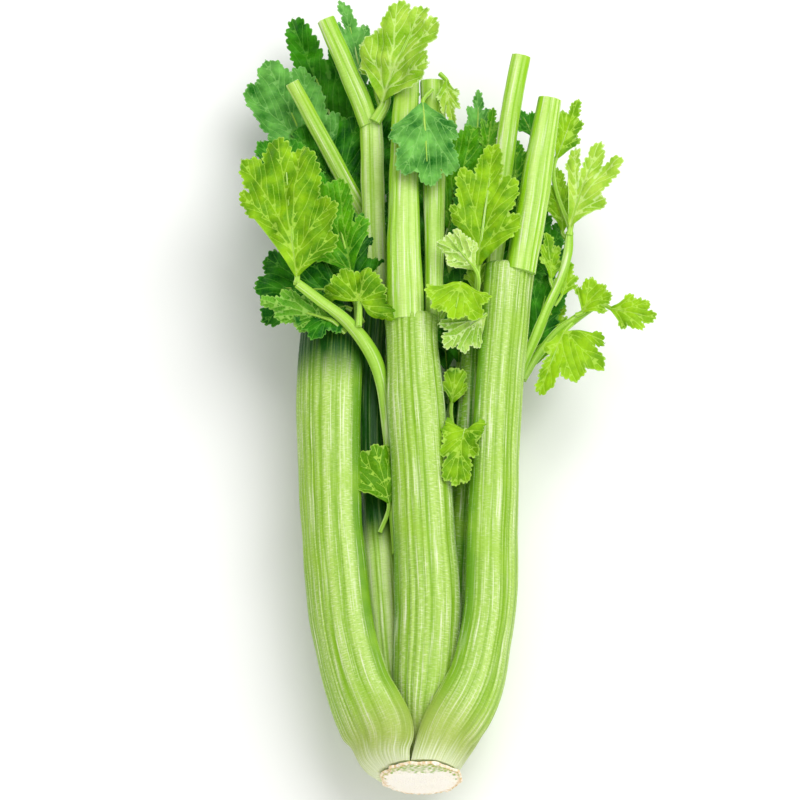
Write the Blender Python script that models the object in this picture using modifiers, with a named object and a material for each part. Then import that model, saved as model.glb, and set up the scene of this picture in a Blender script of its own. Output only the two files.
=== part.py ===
"""A head of celery lying on its back, built in Blender as separate closed solids at real size.

Units: the tables below are in millimetres and degrees, and every mesh is in metres.
Layout frame: Y runs along the head from the cut of the crown (y = 0) to the leaf tips, Z is up and
X is to the right. At the end the whole head is moved so that the origin is under its middle, on
the surface that it lies on.

Pieces: a turned crown, stalks lofted along their own bowed lines, round stems that leave the
stalks at their joints, and leaves that are thin shells cut to a lobed outline.
"""

import math
from dataclasses import dataclass

import bmesh
import bpy
from mathutils import Vector
from mathutils.geometry import delaunay_2d_cdt

MM = 0.001

# Driving dimensions of the crown, in millimetres and degrees.
CROWN_RADIUS = 21.0
CROWN_RIM = 1.5
CROWN_DOME = 1.6
CROWN_CORE_RADIUS = 2.5
CROWN_CORE_HEIGHT = 11.5
CROWN_SLANT = 7.0

# Stalks and stems: the stations along them, the sides of a section and how full a section is.
# A fullness of 1 is an ellipse, and less is squarer.
STATION_STEP = 24.0
SECTION_FULLNESS = 0.75

# The sections turn to lie flat on the crown between these two distances from its cut.
SEAT_FLAT = 4.0
SEAT_FREE = 30.0

# Leaves.
LEAF_THICKNESS = 0.9
LEAF_STEM_WIDTH = 3.0
LOBE_SHARE = 0.3
SHOULDER_REACH = 0.93


@dataclass(frozen=True)
class Run:
    """A stalk or stem: its waypoints, each x, y, z, width and facing.

    Width is across the outer face, and facing is the direction of that face in the X-Z plane, in
    degrees from +X to +Z. depth is the thickness as a share of the width, at the bottom and at
    the top, and curl is how far the two edges bend back behind the middle, given the same way.
    """

    name: str
    waypoints: tuple
    depth: tuple
    curl: tuple = (0.0, 0.0)
    material: str = "stalk"
    sides: int = 12


@dataclass(frozen=True)
class Leaf:
    """A leaf: where its stem starts, the neck of its blade, the tip, and how it is turned.

    roll turns the blade about its midrib, away from facing up. bend is how far the tip curls
    back over the length, and fold is how far each half rises towards the upper side.
    """

    name: str
    root: tuple
    neck: tuple
    tip: tuple
    width: float
    roll: float = 0.0
    bend: float = 20.0
    fold: float = 8.0
    lobes: str = "broad"
    material: str = "leaf"


# Lobe plans: each lobe's direction from the midrib, its reach, and how far out the notch after it
# stops. A plan with no direction under 0 is one side, from the tip down, and is mirrored; the
# others go from the right side to the left. The triple blade has a leaflet on each side.
LOBE_PLANS = {
    "broad": ((0, 1.0, 0.88), (26, 0.95, 0.84), (50, 0.68, 0)),
    "kite": ((0, 1.0, 0.80), (21, 0.78, 0.80), (40, 0.56, 0)),
    "cut": ((0, 1.0, 0.66), (27, 0.80, 0.70), (54, 0.60, 0)),
    "narrow": ((0, 1.0, 0.80), (16, 0.72, 0.80), (32, 0.46, 0)),
    "fan": ((0, 0.94, 0.90), (28, 1.0, 0.88), (56, 0.86, 0)),
    "triple": ((0, 1.0, 0.82), (20, 0.80, 0.34), (60, 0.66, 0.84), (84, 0.74, 0.80), (106, 0.56, 0)),
    "front": ((56, 0.40, 0.80), (33, 0.60, 0.84), (10, 0.93, 0.92), (-4, 1.0, 0.94), (-18, 0.92, 0.88),
              (-31, 0.72, 0)),
    "side": ((32, 0.62, 0.60), (9, 0.98, 0.92), (-9, 0.98, 0.86), (-30, 0.80, 0.80), (-50, 0.50, 0)),
    "drape": ((112, 1.30, 0.78), (64, 1.0, 0.90), (8, 0.95, 0.90), (-52, 1.15, 0.84), (-86, 1.20, 0)),
    "claw": ((34, 0.50, 0.80), (19, 0.97, 0.60), (0, 1.0, 0.46), (-17, 0.90, 0)),
    "goblet": ((0, 1.0, 0.92), (16, 0.96, 0.80), (44, 0.66, 0.86), (76, 0.55, 0.84), (102, 0.52, 0)),
    "sickle": ((18, 0.44, 0.80), (0, 1.0, 0.78), (-30, 0.82, 0.80), (-60, 0.74, 0.78), (-88, 0.56, 0)),
}

OUTER = {"depth": (0.21, 0.38), "curl": (0.17, 0.17)}
SECOND = {"depth": (0.24, 0.44), "curl": (0.24, 0.15)}
INNER = {"depth": (0.36, 0.70), "curl": (0.20, 0.06)}

# The four outer stalks clasp the crown; the next four stand inside them; the rest are the heart.
STALKS = (
    Run("stalk_left", (
        (-17.6, 3.2, 6.0, 31, 155), (-22.0, 9, 9.1, 36.2, 143), (-24.2, 18.5, 13.2, 41, 131),
        (-28.8, 29, 15.2, 40.5, 129), (-34.9, 44, 17.0, 36.5, 127), (-39.9, 63, 18.5, 35.3, 124),
        (-43.5, 86, 19.0, 34.5, 120), (-47.0, 131.5, 19.0, 33.5, 116), (-48.3, 188.5, 17.0, 35, 113),
        (-46.5, 231.5, 13.0, 33, 110), (-44.5, 249.5, 10.0, 27, 107)),
        **OUTER),
    Run("stalk_right", (
        (8.4, 4.2, 15.0, 26, 57), (10.6, 9, 15.8, 28, 56), (15.4, 18.5, 17.2, 31, 53),
        (20.9, 27, 17.4, 33.5, 52), (26.0, 36, 17.6, 33.6, 53), (30.6, 48, 17.8, 31.8, 54),
        (34.2, 65, 18.4, 30.4, 55), (37.0, 86, 19.0, 30, 57), (38.3, 131.5, 19.0, 28.5, 58),
        (40.5, 188.5, 18.0, 27, 59), (44.5, 239.5, 16.0, 26, 62), (46.5, 261.5, 15.0, 27, 64)),
        **OUTER),
    Run("stalk_back_left", (
        (-10.6, 1.6, -14.4, 22.5, 241), (-14.4, 10, -20.8, 27.5, 239), (-20.0, 27.5, -27.4, 33, 236),
        (-24.5, 50, -33.2, 34, 238), (-27.5, 85.5, -37.0, 33, 243), (-29.0, 131.5, -38.8, 32, 247),
        (-30.0, 188.5, -39.3, 30, 249), (-32.5, 244.5, -39.2, 27, 251), (-34.0, 275.5, -39.3, 24, 252)),
        **OUTER),
    Run("stalk_back_right", (
        (11.8, 1.9, -12.6, 23, 316), (14.0, 9, -16.4, 26, 314), (22.0, 27.5, -24.8, 31, 311),
        (28.5, 50, -31.7, 33, 306), (30.5, 85.5, -36.2, 32, 300), (31.5, 131.5, -38.5, 31, 296),
        (32.0, 188.5, -39.2, 29, 293), (34.0, 239.5, -39.5, 25, 290), (36.0, 262.5, -39.8, 23, 289)),
        **OUTER),
    Run("stalk_front", (
        (0.3, 10, 8.8, 13.5, 92), (-0.1, 17, 11.2, 19, 92), (-0.3, 30, 14.2, 25, 91),
        (1.5, 50, 18.6, 32, 90), (3.2, 85.5, 22.5, 33, 89), (0.7, 137.5, 24.0, 30, 90),
        (-2.7, 188.5, 24.5, 29, 91), (-4.4, 221.5, 24.5, 26, 91), (-4.6, 232.5, 24.3, 27, 91)),
        **SECOND),
    Run("stalk_side_left", (
        (-9.4, 10, -1.8, 13, 188), (-15.0, 17, -4.0, 18, 190), (-21.0, 30, -6.8, 23, 192),
        (-27.0, 50, -8.8, 24, 192), (-31.5, 85.5, -10.4, 24, 192), (-35.0, 131.5, -11.5, 23, 190),
        (-37.5, 188.5, -12.0, 20, 188), (-41.0, 239.5, -12.0, 17, 186)), **SECOND),
    Run("stalk_side_right", (
        (9.4, 10, -1.0, 13, 0), (15.0, 17, -3.4, 18, -3), (21.5, 30, -5.8, 23, -5),
        (27.5, 50, -7.8, 24, -6), (32.0, 85.5, -9.6, 24, -6), (35.0, 131.5, -11.0, 22, -4),
        (38.0, 177.5, -10.0, 18, 2), (41.5, 200.5, -7.5, 15, 8)), **SECOND),
    Run("stalk_back", (
        (0.4, 8, -10.2, 11, 270), (0.9, 15, -15.0, 13, 270), (1.0, 30, -21.6, 17, 270),
        (1.0, 50, -22.8, 22, 270), (1.0, 85.5, -24.5, 24, 269), (0.0, 137.5, -25.5, 22, 268),
        (-1.0, 198.5, -25.0, 20, 266), (-3.0, 254.5, -24.0, 16, 264)), **SECOND),
    Run("stalk_inner_left", (
        (-4.2, 12.5, 3.4, 7, 140), (-6.8, 21.5, 4.6, 9, 138), (-11.5, 35.5, 5.2, 12, 128),
        (-15.5, 53, 5.6, 14, 115), (-19.0, 90.5, 6.0, 15, 105), (-22.0, 126.5, 5.0, 15.5, 100),
        (-25.0, 169.5, 4.0, 15, 95), (-25.0, 216.5, 4.0, 13.5, 92), (-23.0, 249.5, 5.0, 12.5, 90),
        (-23.8, 290.5, 6.0, 11.5, 90), (-25.0, 341.5, 6.0, 11.5, 90)), **INNER),
    Run("stalk_inner_right", (
        (4.2, 12.5, 3.0, 7, 42), (7.0, 21.5, 4.2, 9, 45), (11.0, 35.5, 4.8, 11, 55),
        (14.5, 53, 5.0, 13, 68), (18.5, 90.5, 5.0, 14, 78), (20.5, 131.5, 5.0, 14, 84),
        (24.0, 183.5, 4.5, 13, 88), (26.0, 227.5, 4.0, 11, 90)), **INNER),
    Run("stalk_heart", (
        (0.0, 13, -3.0, 7, 270), (0.8, 28.5, -4.5, 8, 268), (3.0, 54.5, -6.0, 10, 265),
        (5.5, 106.5, -5.5, 10, 265), (8.5, 157.5, -4.0, 9, 262), (12.5, 203.5, -2.0, 8, 260)),
        **INNER),
)

# Stems above the joints. Those whose name ends in _cut were trimmed square when picked.
STEMS = (
    Run("stem_front_cut", (
        (-7.8, 233.5, 25.0, 18.5, 91), (-8.4, 262.5, 24.5, 17.5, 92), (-8.6, 286.5, 23.5, 16, 92),
        (-8.2, 326.5, 21.0, 14, 91), (-6.8, 363.5, 18.5, 11.5, 90)), (0.57, 0.70), sides=10),
    Run("stem_front_fork_cut", (
        (6.4, 233.5, 20.0, 8.5, 85), (6.6, 257.5, 19.0, 9.5, 86), (6.8, 286.5, 17.0, 10.5, 88),
        (6.6, 326.5, 13.0, 12, 88), (6.2, 363.5, 9.0, 13, 88)), (0.86, 0.58), sides=10),
    Run("stem_inner_left_cut", (
        (-26.6, 343.5, 7.0, 10.5, 95), (-31.0, 355.5, 8.0, 10.5, 96), (-38.0, 372.5, 9.5, 9.5, 98),
        (-48.0, 396.5, 10.0, 8.8, 98)), (0.72, 0.78), sides=10),
    Run("stem_back_cut", (
        (-5.5, 257, -22.5, 11, 150), (-15.0, 276.5, -14.0, 10, 120), (-31.0, 301.5, -4.0, 8.5, 100),
        (-48.0, 331.5, 4.0, 7.8, 95), (-65.0, 362.5, 10.0, 7.2, 95)), (0.70, 0.84), sides=10),
    Run("stem_right_cut", (
        (50.5, 262.5, 16.0, 15, 70), (53.0, 277.5, 17.0, 15.5, 74), (56.3, 295.5, 18.5, 15.5, 78),
        (60.3, 321.5, 20.5, 14, 80), (65.0, 349.5, 22.0, 11.5, 80)), (0.67, 0.78), sides=10),
    Run("stem_right_fork_cut", (
        (37.0, 266.5, 9.5, 8, 80), (38.5, 282.5, 9.0, 9.5, 85), (41.0, 312.5, 9.0, 10, 88),
        (45.5, 347.5, 10.0, 9.8, 90), (51.0, 376.5, 11.0, 9.2, 90)), (0.90, 0.82), sides=10),
    Run("leaf_stem_left", (
        (-12.6, 114.5, 11.5, 3.8, 90), (-14.2, 142.5, 12.5, 4.6, 90), (-16.2, 170.5, 13.0, 5.4, 90),
        (-18.2, 192.5, 14.5, 6.2, 92), (-21.6, 208.5, 18.5, 6.8, 98), (-28.5, 220.0, 24.5, 7.0, 98),
        (-39.0, 230.5, 30.5, 6.0, 94), (-51.0, 239.0, 33.5, 5.2, 92), (-61.0, 246.0, 36.0, 4.4, 92)),
        (0.90, 0.86), material="stem", sides=8),
    Run("leaf_stem_right", (
        (48.0, 211.0, -3.0, 5.5, 60), (56.0, 225.5, 4.0, 5.2, 80), (63.0, 241.5, 8.5, 4.8, 90),
        (70.0, 256.8, 11.0, 4.6, 90), (73.8, 270.5, 12.5, 4.4, 90), (74.8, 280.5, 13.5, 4, 90)),
        (0.91, 0.90), material="stem", sides=8),
    Run("leaf_stem_far_right", (
        (51.5, 213.0, -7.0, 5, 40), (59.0, 222.0, -2.0, 4.6, 70), (68.0, 231.0, 4.5, 4.4, 90),
        (76.5, 236.2, 9.0, 4.2, 90), (84.0, 240.6, 12.0, 3.8, 90), (90.0, 244.0, 13.5, 3.2, 90)),
        (0.90, 0.94), material="stem", sides=8),
)

LEAVES = (
    # Left side, from the nearest to the furthest.
    Leaf("leaf_left_front", (-62, 247.5, 36.8), (-62, 250, 37.5), (-69, 323.5, 42), 48, -8, 24, 8,
         "front", "young"),
    Leaf("leaf_left_droop", (-31, 227, 31.8), (-31, 238, 33.8), (-28, 254, 36), 36, -10, 56, 3, "drape",
         "leaf"),
    Leaf("leaf_left_inner", (-32, 229.5, 20), (-35, 256.5, 25), (-45.5, 305, 24), 33, -14, 22, 8,
         "side", "leaf"),
    Leaf("leaf_left_dark", (-29.8, 233, 19), (-39, 249, 18), (-84, 252, 14), 42, -4, 20, 4, "broad",
         "leaf"),
    Leaf("leaf_left_turned", (-39, 225.5, 25), (-45, 230.5, 27.5), (-80, 240, 29.5), 19, 158, 24, 10,
         "kite", "leaf"),
    Leaf("leaf_far_left", (-43, 251.5, -6), (-49, 312, -8), (-77.5, 379, -7), 44, 12, 16, 8, "broad",
         "leaf"),
    Leaf("leaf_far_left_low", (-44, 251.5, 5), (-54, 285.5, 15), (-82, 330.5, 12), 40, 22, 24, 8,
         "broad", "leaf"),
    Leaf("leaf_top_left", (-38, 293.5, -21), (-39, 337, -21), (-64.5, 406, -15), 50, -10, 18, 8, "cut",
         "leaf"),
    Leaf("leaf_top", (-28, 323.5, -6), (-29.5, 364, -5.5), (-39.5, 410.5, -4), 23, 34, 20, 14, "kite",
         "leaf"),
    Leaf("leaf_top_folded", (-22.5, 342.5, 11.5), (-19.5, 350.5, 15.5), (3, 397, 31), 40, -24, 30, 18,
         "fan", "heart"),
    Leaf("leaf_top_folded_small", (-20.3, 351, 8), (-22.5, 360, 9), (-24.5, 387, 8), 15, 10, 28, 12,
         "broad", "heart"),
    Leaf("leaf_left_deep", (-41, 241.5, -18.5), (-42, 285.5, -27), (-60, 353.5, -33), 46, -12, 20, 6,
         "triple", "leaf"),
    Leaf("leaf_left_shaded", (-31, 262, -13), (-34, 277, -13.5), (-50, 312, -14), 28, 6, 22, 6,
         "broad", "leaf"),
    # Middle.
    Leaf("leaf_centre_hanging", (5, 355.5, 17), (1, 346, 27), (3.5, 300, 30), 34, -6, 32, 5, "broad",
         "leaf"),
    Leaf("leaf_centre_side", (10.5, 365, 14.5), (13, 361, 18), (17, 335.5, 21.5), 11, 20, 30, 10,
         "narrow", "heart"),
    Leaf("leaf_centre_upper", (28, 229.5, 3), (14, 290, -5), (27, 341, -3), 40, 4, 24, 6, "broad",
         "leaf"),
    Leaf("leaf_centre_deep", (12.5, 205, -3), (13, 215.5, -7), (12, 285.5, -15), 36, -16, 20, 8,
         "broad", "leaf"),
    Leaf("leaf_centre_bright", (28.5, 229.5, 9.5), (28.5, 260.5, 23.5), (37.5, 321.5, 30), 36, -6, 28,
         8, "kite", "young"),
    Leaf("leaf_centre_spike", (30, 229.5, -2), (28, 330, -9), (29.5, 366.5, -10), 14, 16, 14, 12,
         "kite", "leaf"),
    Leaf("leaf_centre_pale", (23, 233.5, 11), (27, 255.5, 33), (11.5, 273.5, 37), 17, 165, 30, 6, "fan",
         "heart"),
    Leaf("leaf_centre_small", (24.5, 229.5, 7), (27.5, 252, 9.5), (29.5, 271.5, 7.5), 12, -24, 20, 12,
         "narrow", "young"),
    Leaf("leaf_centre_wide", (11, 233.5, 25), (20, 248.5, 33), (16.5, 227, 38), 32, 0, 44, 4, "fan",
         "young"),
    Leaf("leaf_centre_folded", (27, 231.5, 24), (32, 232.5, 29), (10.5, 214, 33.5), 23, 158, 24, 18,
         "kite", "heart"),
    Leaf("leaf_heart_small", (20, 163.5, 10), (15.5, 192, 12), (17.5, 210, 15), 13, 14, 20, 8, "fan",
         "young"),
    Leaf("leaf_heart_curled", (22.5, 163.5, 12), (21.6, 173.5, 25.6), (17.5, 143.5, 26), 20, 16, 40, 16,
         "goblet", "young"),
    Leaf("leaf_heart_fringe", (-20, 126, 10.5), (-19.8, 139, 17.4), (-23.4, 168, 18.5), 11.5, 10, 26, 8,
         "fan", "leaf"),
    # Right side.
    Leaf("leaf_right_upper", (74.8, 281, 14.5), (75, 284, 16.3), (90.5, 324.5, 23), 29, -14, 28, 6,
         "claw", "heart"),
    Leaf("leaf_right_upper_inner", (73.8, 279, 9.5), (71.5, 285.5, 5), (68.5, 318.5, 1), 17, 12, 24, 10,
         "kite", "young"),
    Leaf("leaf_right_dark", (67.4, 258.5, 5), (66, 261.5, -1), (61, 293.5, -4), 20, 14, 20, 8, "broad",
         "leaf"),
    Leaf("leaf_right_folded", (66.4, 254.5, 8.5), (65.6, 259, 8.3), (63, 283, 7.6), 12, 24, 20, 14,
         "narrow", "young"),
    Leaf("leaf_right_tip", (75.4, 282.5, 10.8), (68.7, 322.5, 10), (79.3, 353, 13), 15, 20, 20, 12,
         "narrow", "young"),
    Leaf("leaf_right_long", (52.5, 212.5, -12), (57.5, 220, -11), (72.5, 254, -5), 16, 26, 16, 12,
         "kite", "young"),
    Leaf("leaf_far_right_curl", (79, 238.4, 12.8), (81, 239, 15), (92, 251.5, 19.5), 20, -20, 34, 6,
         "broad", "young"),
    Leaf("leaf_far_right_tip", (91, 244, 15), (95, 240.5, 15.5), (116.5, 234.5, 19), 17, 14, 24, 8,
         "broad", "young"),
    Leaf("leaf_far_right_big", (75, 233, 10.5), (72, 229.5, 14), (59.5, 195.5, 16), 31, 10, 24, 6,
         "sickle", "young"),
    # Underneath.
    Leaf("leaf_back_left", (-36, 276.5, -37), (-40, 287.5, -36.5), (-70, 343.5, -41), 46, 14, 16, 4,
         "broad", "leaf"),
    Leaf("leaf_back_right", (37, 263.5, -36.5), (41, 274.5, -36), (59, 332.5, -39), 46, -14, 16, 4,
         "triple", "leaf"),
    Leaf("leaf_back_middle", (2, 255.5, -24), (6, 271.5, -28), (13, 337.5, -36), 44, 8, 16, 6, "broad",
         "leaf"),
    Leaf("leaf_back_upper", (-31, 276.5, -35), (-25, 308.5, -31), (-16, 384.5, -27), 46, -18, 18, 8,
         "broad", "leaf"),
)

# Base colour, roughness and metallic value of each material.
FINISHES = {
    "cut_crown": ((0.87, 0.78, 0.58), 0.55, 0.0),
    "stalk": ((0.45, 0.68, 0.15), 0.35, 0.0),
    "stem": ((0.38, 0.62, 0.12), 0.38, 0.0),
    "leaf": ((0.08, 0.33, 0.06), 0.45, 0.0),
    "young": ((0.30, 0.58, 0.06), 0.42, 0.0),
    "heart": ((0.62, 0.80, 0.32), 0.42, 0.0),
}


def clear_scene():
    """Remove the objects that Blender opens with."""
    for obj in list(bpy.data.objects):
        bpy.data.objects.remove(obj, do_unlink=True)


def make_collection(name):
    collection = bpy.data.collections.new(name)
    bpy.context.scene.collection.children.link(collection)
    return collection


def make_material(name, colour, roughness, metallic):
    material = bpy.data.materials.new(name)
    material.use_nodes = True
    shader = material.node_tree.nodes["Principled BSDF"]
    shader.inputs["Base Color"].default_value = (*colour, 1.0)
    shader.inputs["Roughness"].default_value = roughness
    shader.inputs["Metallic"].default_value = metallic
    return material


def mesh_from(name, bm):
    """Turn a finished bmesh into mesh data with smooth sides and sharp rims."""
    bmesh.ops.recalc_face_normals(bm, faces=bm.faces)
    mesh = bpy.data.meshes.new(name)
    bm.to_mesh(mesh)
    bm.free()
    mesh.shade_smooth()
    mesh.set_sharp_from_angle(angle=math.radians(50))
    return mesh


def add_object(name, mesh, material, collection, parent):
    obj = bpy.data.objects.new(name, mesh)
    obj.parent = parent
    collection.objects.link(obj)
    mesh.materials.append(material)
    return obj


def catmull_rom(p0, p1, p2, p3, t):
    """A value on the smooth curve from p1 to p2, for each number of the waypoints."""
    return [
        0.5 * (2 * b + (c - a) * t + (2 * a - 5 * b + 4 * c - d) * t * t
               + (3 * b - a - 3 * c + d) * t ** 3)
        for a, b, c, d in zip(p0, p1, p2, p3)
    ]


def stations_along(waypoints):
    """Waypoints joined by a smooth curve, with a station about every STATION_STEP."""
    first = [2 * a - b for a, b in zip(waypoints[0], waypoints[1])]
    last = [2 * a - b for a, b in zip(waypoints[-1], waypoints[-2])]
    padded = [first, *waypoints, last]
    found = []
    for i in range(1, len(padded) - 2):
        gap = (Vector(padded[i][:3]) - Vector(padded[i + 1][:3])).length
        steps = max(1, round(gap / STATION_STEP))
        found += [catmull_rom(*padded[i - 1:i + 3], k / steps) for k in range(steps)]
    return [*found, list(waypoints[-1])]


def between(ends, share):
    return ends[0] + share * (ends[1] - ends[0])


def section_points(width, depth, curl, sides):
    """A stalk's section: across the face, and out from it. With no curl it is a round stem."""
    for k in range(sides):
        turn = 2 * math.pi * (k + 0.5) / sides
        across = math.cos(turn)
        swell = math.copysign(abs(math.sin(turn)) ** SECTION_FULLNESS, math.sin(turn))
        yield 0.5 * width * across, width * (0.5 * depth * swell - curl * across * across)


def crown_axis():
    """The direction into the head, square to the crown's slanting cut."""
    slant = math.radians(CROWN_SLANT)
    return Vector((0, math.cos(slant), -math.sin(slant)))


def seated(along, y):
    """The direction a section is square to: the run's own line, and the crown's axis at its foot."""
    share = min(max((SEAT_FREE - y) / (SEAT_FREE - SEAT_FLAT), 0.0), 1.0)
    return along.lerp(crown_axis(), share * share * (3.0 - 2.0 * share)).normalized()


def make_run(run, materials, collection, parent):
    """A closed loft through the run's sections, square to its line and seated on the crown."""
    stations = stations_along(run.waypoints)
    centres = [Vector(s[:3]) for s in stations]
    bm = bmesh.new()
    rings = []
    for i, (centre, station) in enumerate(zip(centres, stations)):
        width, facing = station[3:]
        share = i / (len(stations) - 1)
        depth, curl = between(run.depth, share), between(run.curl, share)
        along = (centres[min(i + 1, len(centres) - 1)] - centres[max(i - 1, 0)]).normalized()
        along = seated(along, centre.y)
        face = Vector((math.cos(math.radians(facing)), 0, math.sin(math.radians(facing))))
        outward = (face - face.dot(along) * along).normalized()
        across = along.cross(outward)
        rings.append([
            bm.verts.new((centre + a * across + o * outward) * MM)
            for a, o in section_points(width, depth, curl, run.sides)
        ])
    for near, far in zip(rings, rings[1:]):
        for k in range(run.sides):
            after = (k + 1) % run.sides
            bm.faces.new((near[k], near[after], far[after], far[k]))
    bm.faces.new(rings[0])
    bm.faces.new(rings[-1])
    return add_object(run.name, mesh_from(run.name, bm), materials[run.material], collection, parent)


def signed_lobes(plan):
    """The plan's lobes from the right side to the left, mirrored where it names one side only."""
    lobes = LOBE_PLANS[plan]
    if lobes[-1][0] < 0:
        return lobes
    notches = [notch for _, _, notch in lobes]
    right = [(lobes[i][0], lobes[i][1], notches[i - 1]) for i in range(len(lobes) - 1, 0, -1)]
    return (*right, *((-direction, reach, notch) for direction, reach, notch in lobes))


def lobed_outline(plan):
    """The blade's outline round its neck, with the tip at 1, from the right side to the left."""
    lobes = signed_lobes(plan)
    polar = []
    for i, (direction, reach, notch) in enumerate(lobes):
        before = direction - lobes[i - 1][0] if i else lobes[1][0] - direction
        after = lobes[i + 1][0] - direction if notch else before
        polar.append((direction - LOBE_SHARE * before, SHOULDER_REACH * reach))
        polar.append((direction, reach))
        polar.append((direction + LOBE_SHARE * after, SHOULDER_REACH * reach))
        if notch:
            polar.append((direction + after / 2, notch * min(reach, lobes[i + 1][1])))
    return [(r * math.sin(math.radians(a)), r * math.cos(math.radians(a))) for a, r in polar]


def inner_points(plan):
    """Points inside the blade: its neck and the middle of each lobe, so that it can bend."""
    points = [(0.0, 0.0)]
    for direction, reach, _ in signed_lobes(plan):
        angle = math.radians(direction)
        points.append((0.5 * reach * math.sin(angle), 0.5 * reach * math.cos(angle)))
    return points


def bent(x, y, length, leaf):
    """A flat point of the blade, moved to where the fold and the bend put it."""
    z = math.tan(math.radians(leaf.fold)) * abs(x)
    turn = math.radians(leaf.bend)
    radius = length / turn
    along = y / radius
    y, z = (radius + z) * math.sin(along), (radius + z) * math.cos(along) - radius
    half = turn / 2
    return Vector((x, y * math.cos(half) - z * math.sin(half),
                   y * math.sin(half) + z * math.cos(half)))


def leaf_axes(leaf):
    """The blade's own axes: to its side, along its midrib and up from its upper face."""
    along = (Vector(leaf.tip) - Vector(leaf.neck)).normalized()
    up = (Vector((0, 0, 1)) - along.z * along).normalized()
    roll = math.radians(leaf.roll)
    up = math.cos(roll) * up + math.sin(roll) * along.cross(up)
    return along.cross(up), along, up


def make_leaf(leaf, materials, collection, parent):
    """The lobed blade and its stem as one bent sheet, given its thickness by Solidify."""
    neck, root = Vector(leaf.neck), Vector(leaf.root)
    half_turn = math.radians(leaf.bend) / 2
    length = (Vector(leaf.tip) - neck).length * half_turn / math.sin(half_turn)
    outline = lobed_outline(leaf.lobes)
    squeeze = leaf.width / (max(x for x, _ in outline) - min(x for x, _ in outline))
    half_stem = 0.5 * LEAF_STEM_WIDTH
    stem = (root - neck).length
    flat = [(x * squeeze, y * length) for x, y in (*outline, *inner_points(leaf.lobes))]
    count = len(outline)
    flat += [(-half_stem, 0.0), (-half_stem, -stem), (half_stem, -stem), (half_stem, 0.0)]
    ring = [*range(count), *range(len(flat) - 4, len(flat))]
    edges = [(ring[i], ring[(i + 1) % len(ring)]) for i in range(len(ring))]
    points, _, faces, *_ = delaunay_2d_cdt([Vector(p) for p in flat], edges, [], 1, 1e-4)
    side, along, up = leaf_axes(leaf)
    bm = bmesh.new()
    verts = []
    for point in points:
        if point.y < -0.5 * stem:
            place = root + point.x * side
        else:
            at = bent(point.x, max(point.y, -0.3 * stem), length, leaf)
            place = neck + at.x * side + at.y * along + at.z * up
        verts.append(bm.verts.new(place * MM))
    for face in faces:
        bm.faces.new([verts[i] for i in face])
    mesh = mesh_from(leaf.name, bm)
    obj = add_object(leaf.name, mesh, materials[leaf.material], collection, parent)
    shell = obj.modifiers.new("blade_thickness", "SOLIDIFY")
    shell.thickness = LEAF_THICKNESS * MM
    shell.offset = 0.0
    return obj


def make_crown(materials, collection, parent):
    """The short stem that every stalk grows from, turned and then set at the slant of its cut."""
    profile = (
        (0.0, CROWN_CORE_HEIGHT), (CROWN_CORE_RADIUS, CROWN_CORE_HEIGHT - 0.6),
        (6.4, 8.4), (9.0, 5.6), (10.6, 3.2), (12.4, 2.0),
        (CROWN_RADIUS - 0.8, CROWN_RIM), (CROWN_RADIUS, CROWN_RIM / 2),
        (CROWN_RADIUS - 1.2, 0.0), (CROWN_RADIUS / 2, -0.8 * CROWN_DOME), (0.0, -CROWN_DOME),
    )
    bm = bmesh.new()
    verts = [bm.verts.new((radius * MM, 0, height * MM)) for radius, height in profile]
    for a, b in zip(verts, verts[1:]):
        bm.edges.new((a, b))
    mesh = bpy.data.meshes.new("crown")
    bm.to_mesh(mesh)
    bm.free()
    obj = add_object("crown", mesh, materials["cut_crown"], collection, parent)
    obj.rotation_euler.x = math.radians(-90 - CROWN_SLANT)
    turned = obj.modifiers.new("turned", "SCREW")
    turned.steps = turned.render_steps = 24
    turned.use_merge_vertices = True
    turned.merge_threshold = 0.00001
    return obj


def stand_on_origin(objects, head):
    """Move the head so that the origin is under the middle of its box, at its lowest point."""
    bpy.context.view_layer.update()
    graph = bpy.context.evaluated_depsgraph_get()
    points = []
    for obj in objects:
        shown = obj.evaluated_get(graph)
        points += [shown.matrix_world @ vert.co for vert in shown.to_mesh().vertices]
        shown.to_mesh_clear()
    low = Vector([min(p[i] for p in points) for i in range(3)])
    high = Vector([max(p[i] for p in points) for i in range(3)])
    head.location = (-(low.x + high.x) / 2, -(low.y + high.y) / 2, -low.z)


def main():
    clear_scene()
    collection = make_collection("head_of_celery")
    materials = {name: make_material(name, *finish) for name, finish in FINISHES.items()}
    head = bpy.data.objects.new("head", None)
    collection.objects.link(head)
    objects = [make_crown(materials, collection, head)]
    objects += [make_run(run, materials, collection, head) for run in (*STALKS, *STEMS)]
    objects += [make_leaf(leaf, materials, collection, head) for leaf in LEAVES]
    stand_on_origin(objects, head)


main()
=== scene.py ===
"""The looks of a head of celery that lies on its back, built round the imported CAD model.

Every piece is laid out in the head's own frame, in millimetres: Y runs along the head from the cut
of the crown (y = 0) to the leaf tips, Z is up and X is to the right. The crown's box says where
that frame sits in the CAD model, and each piece is moved there and turned to metres as its mesh is
made. Meshes are worked out as arrays of points, because a stalk's ribs and a leaf's veins follow
formulas.
"""

import logging
import math
import zlib
from dataclasses import dataclass, field
from enum import Enum

import bpy
import numpy as np
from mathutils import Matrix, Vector
from mathutils.geometry import delaunay_2d_cdt


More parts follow.
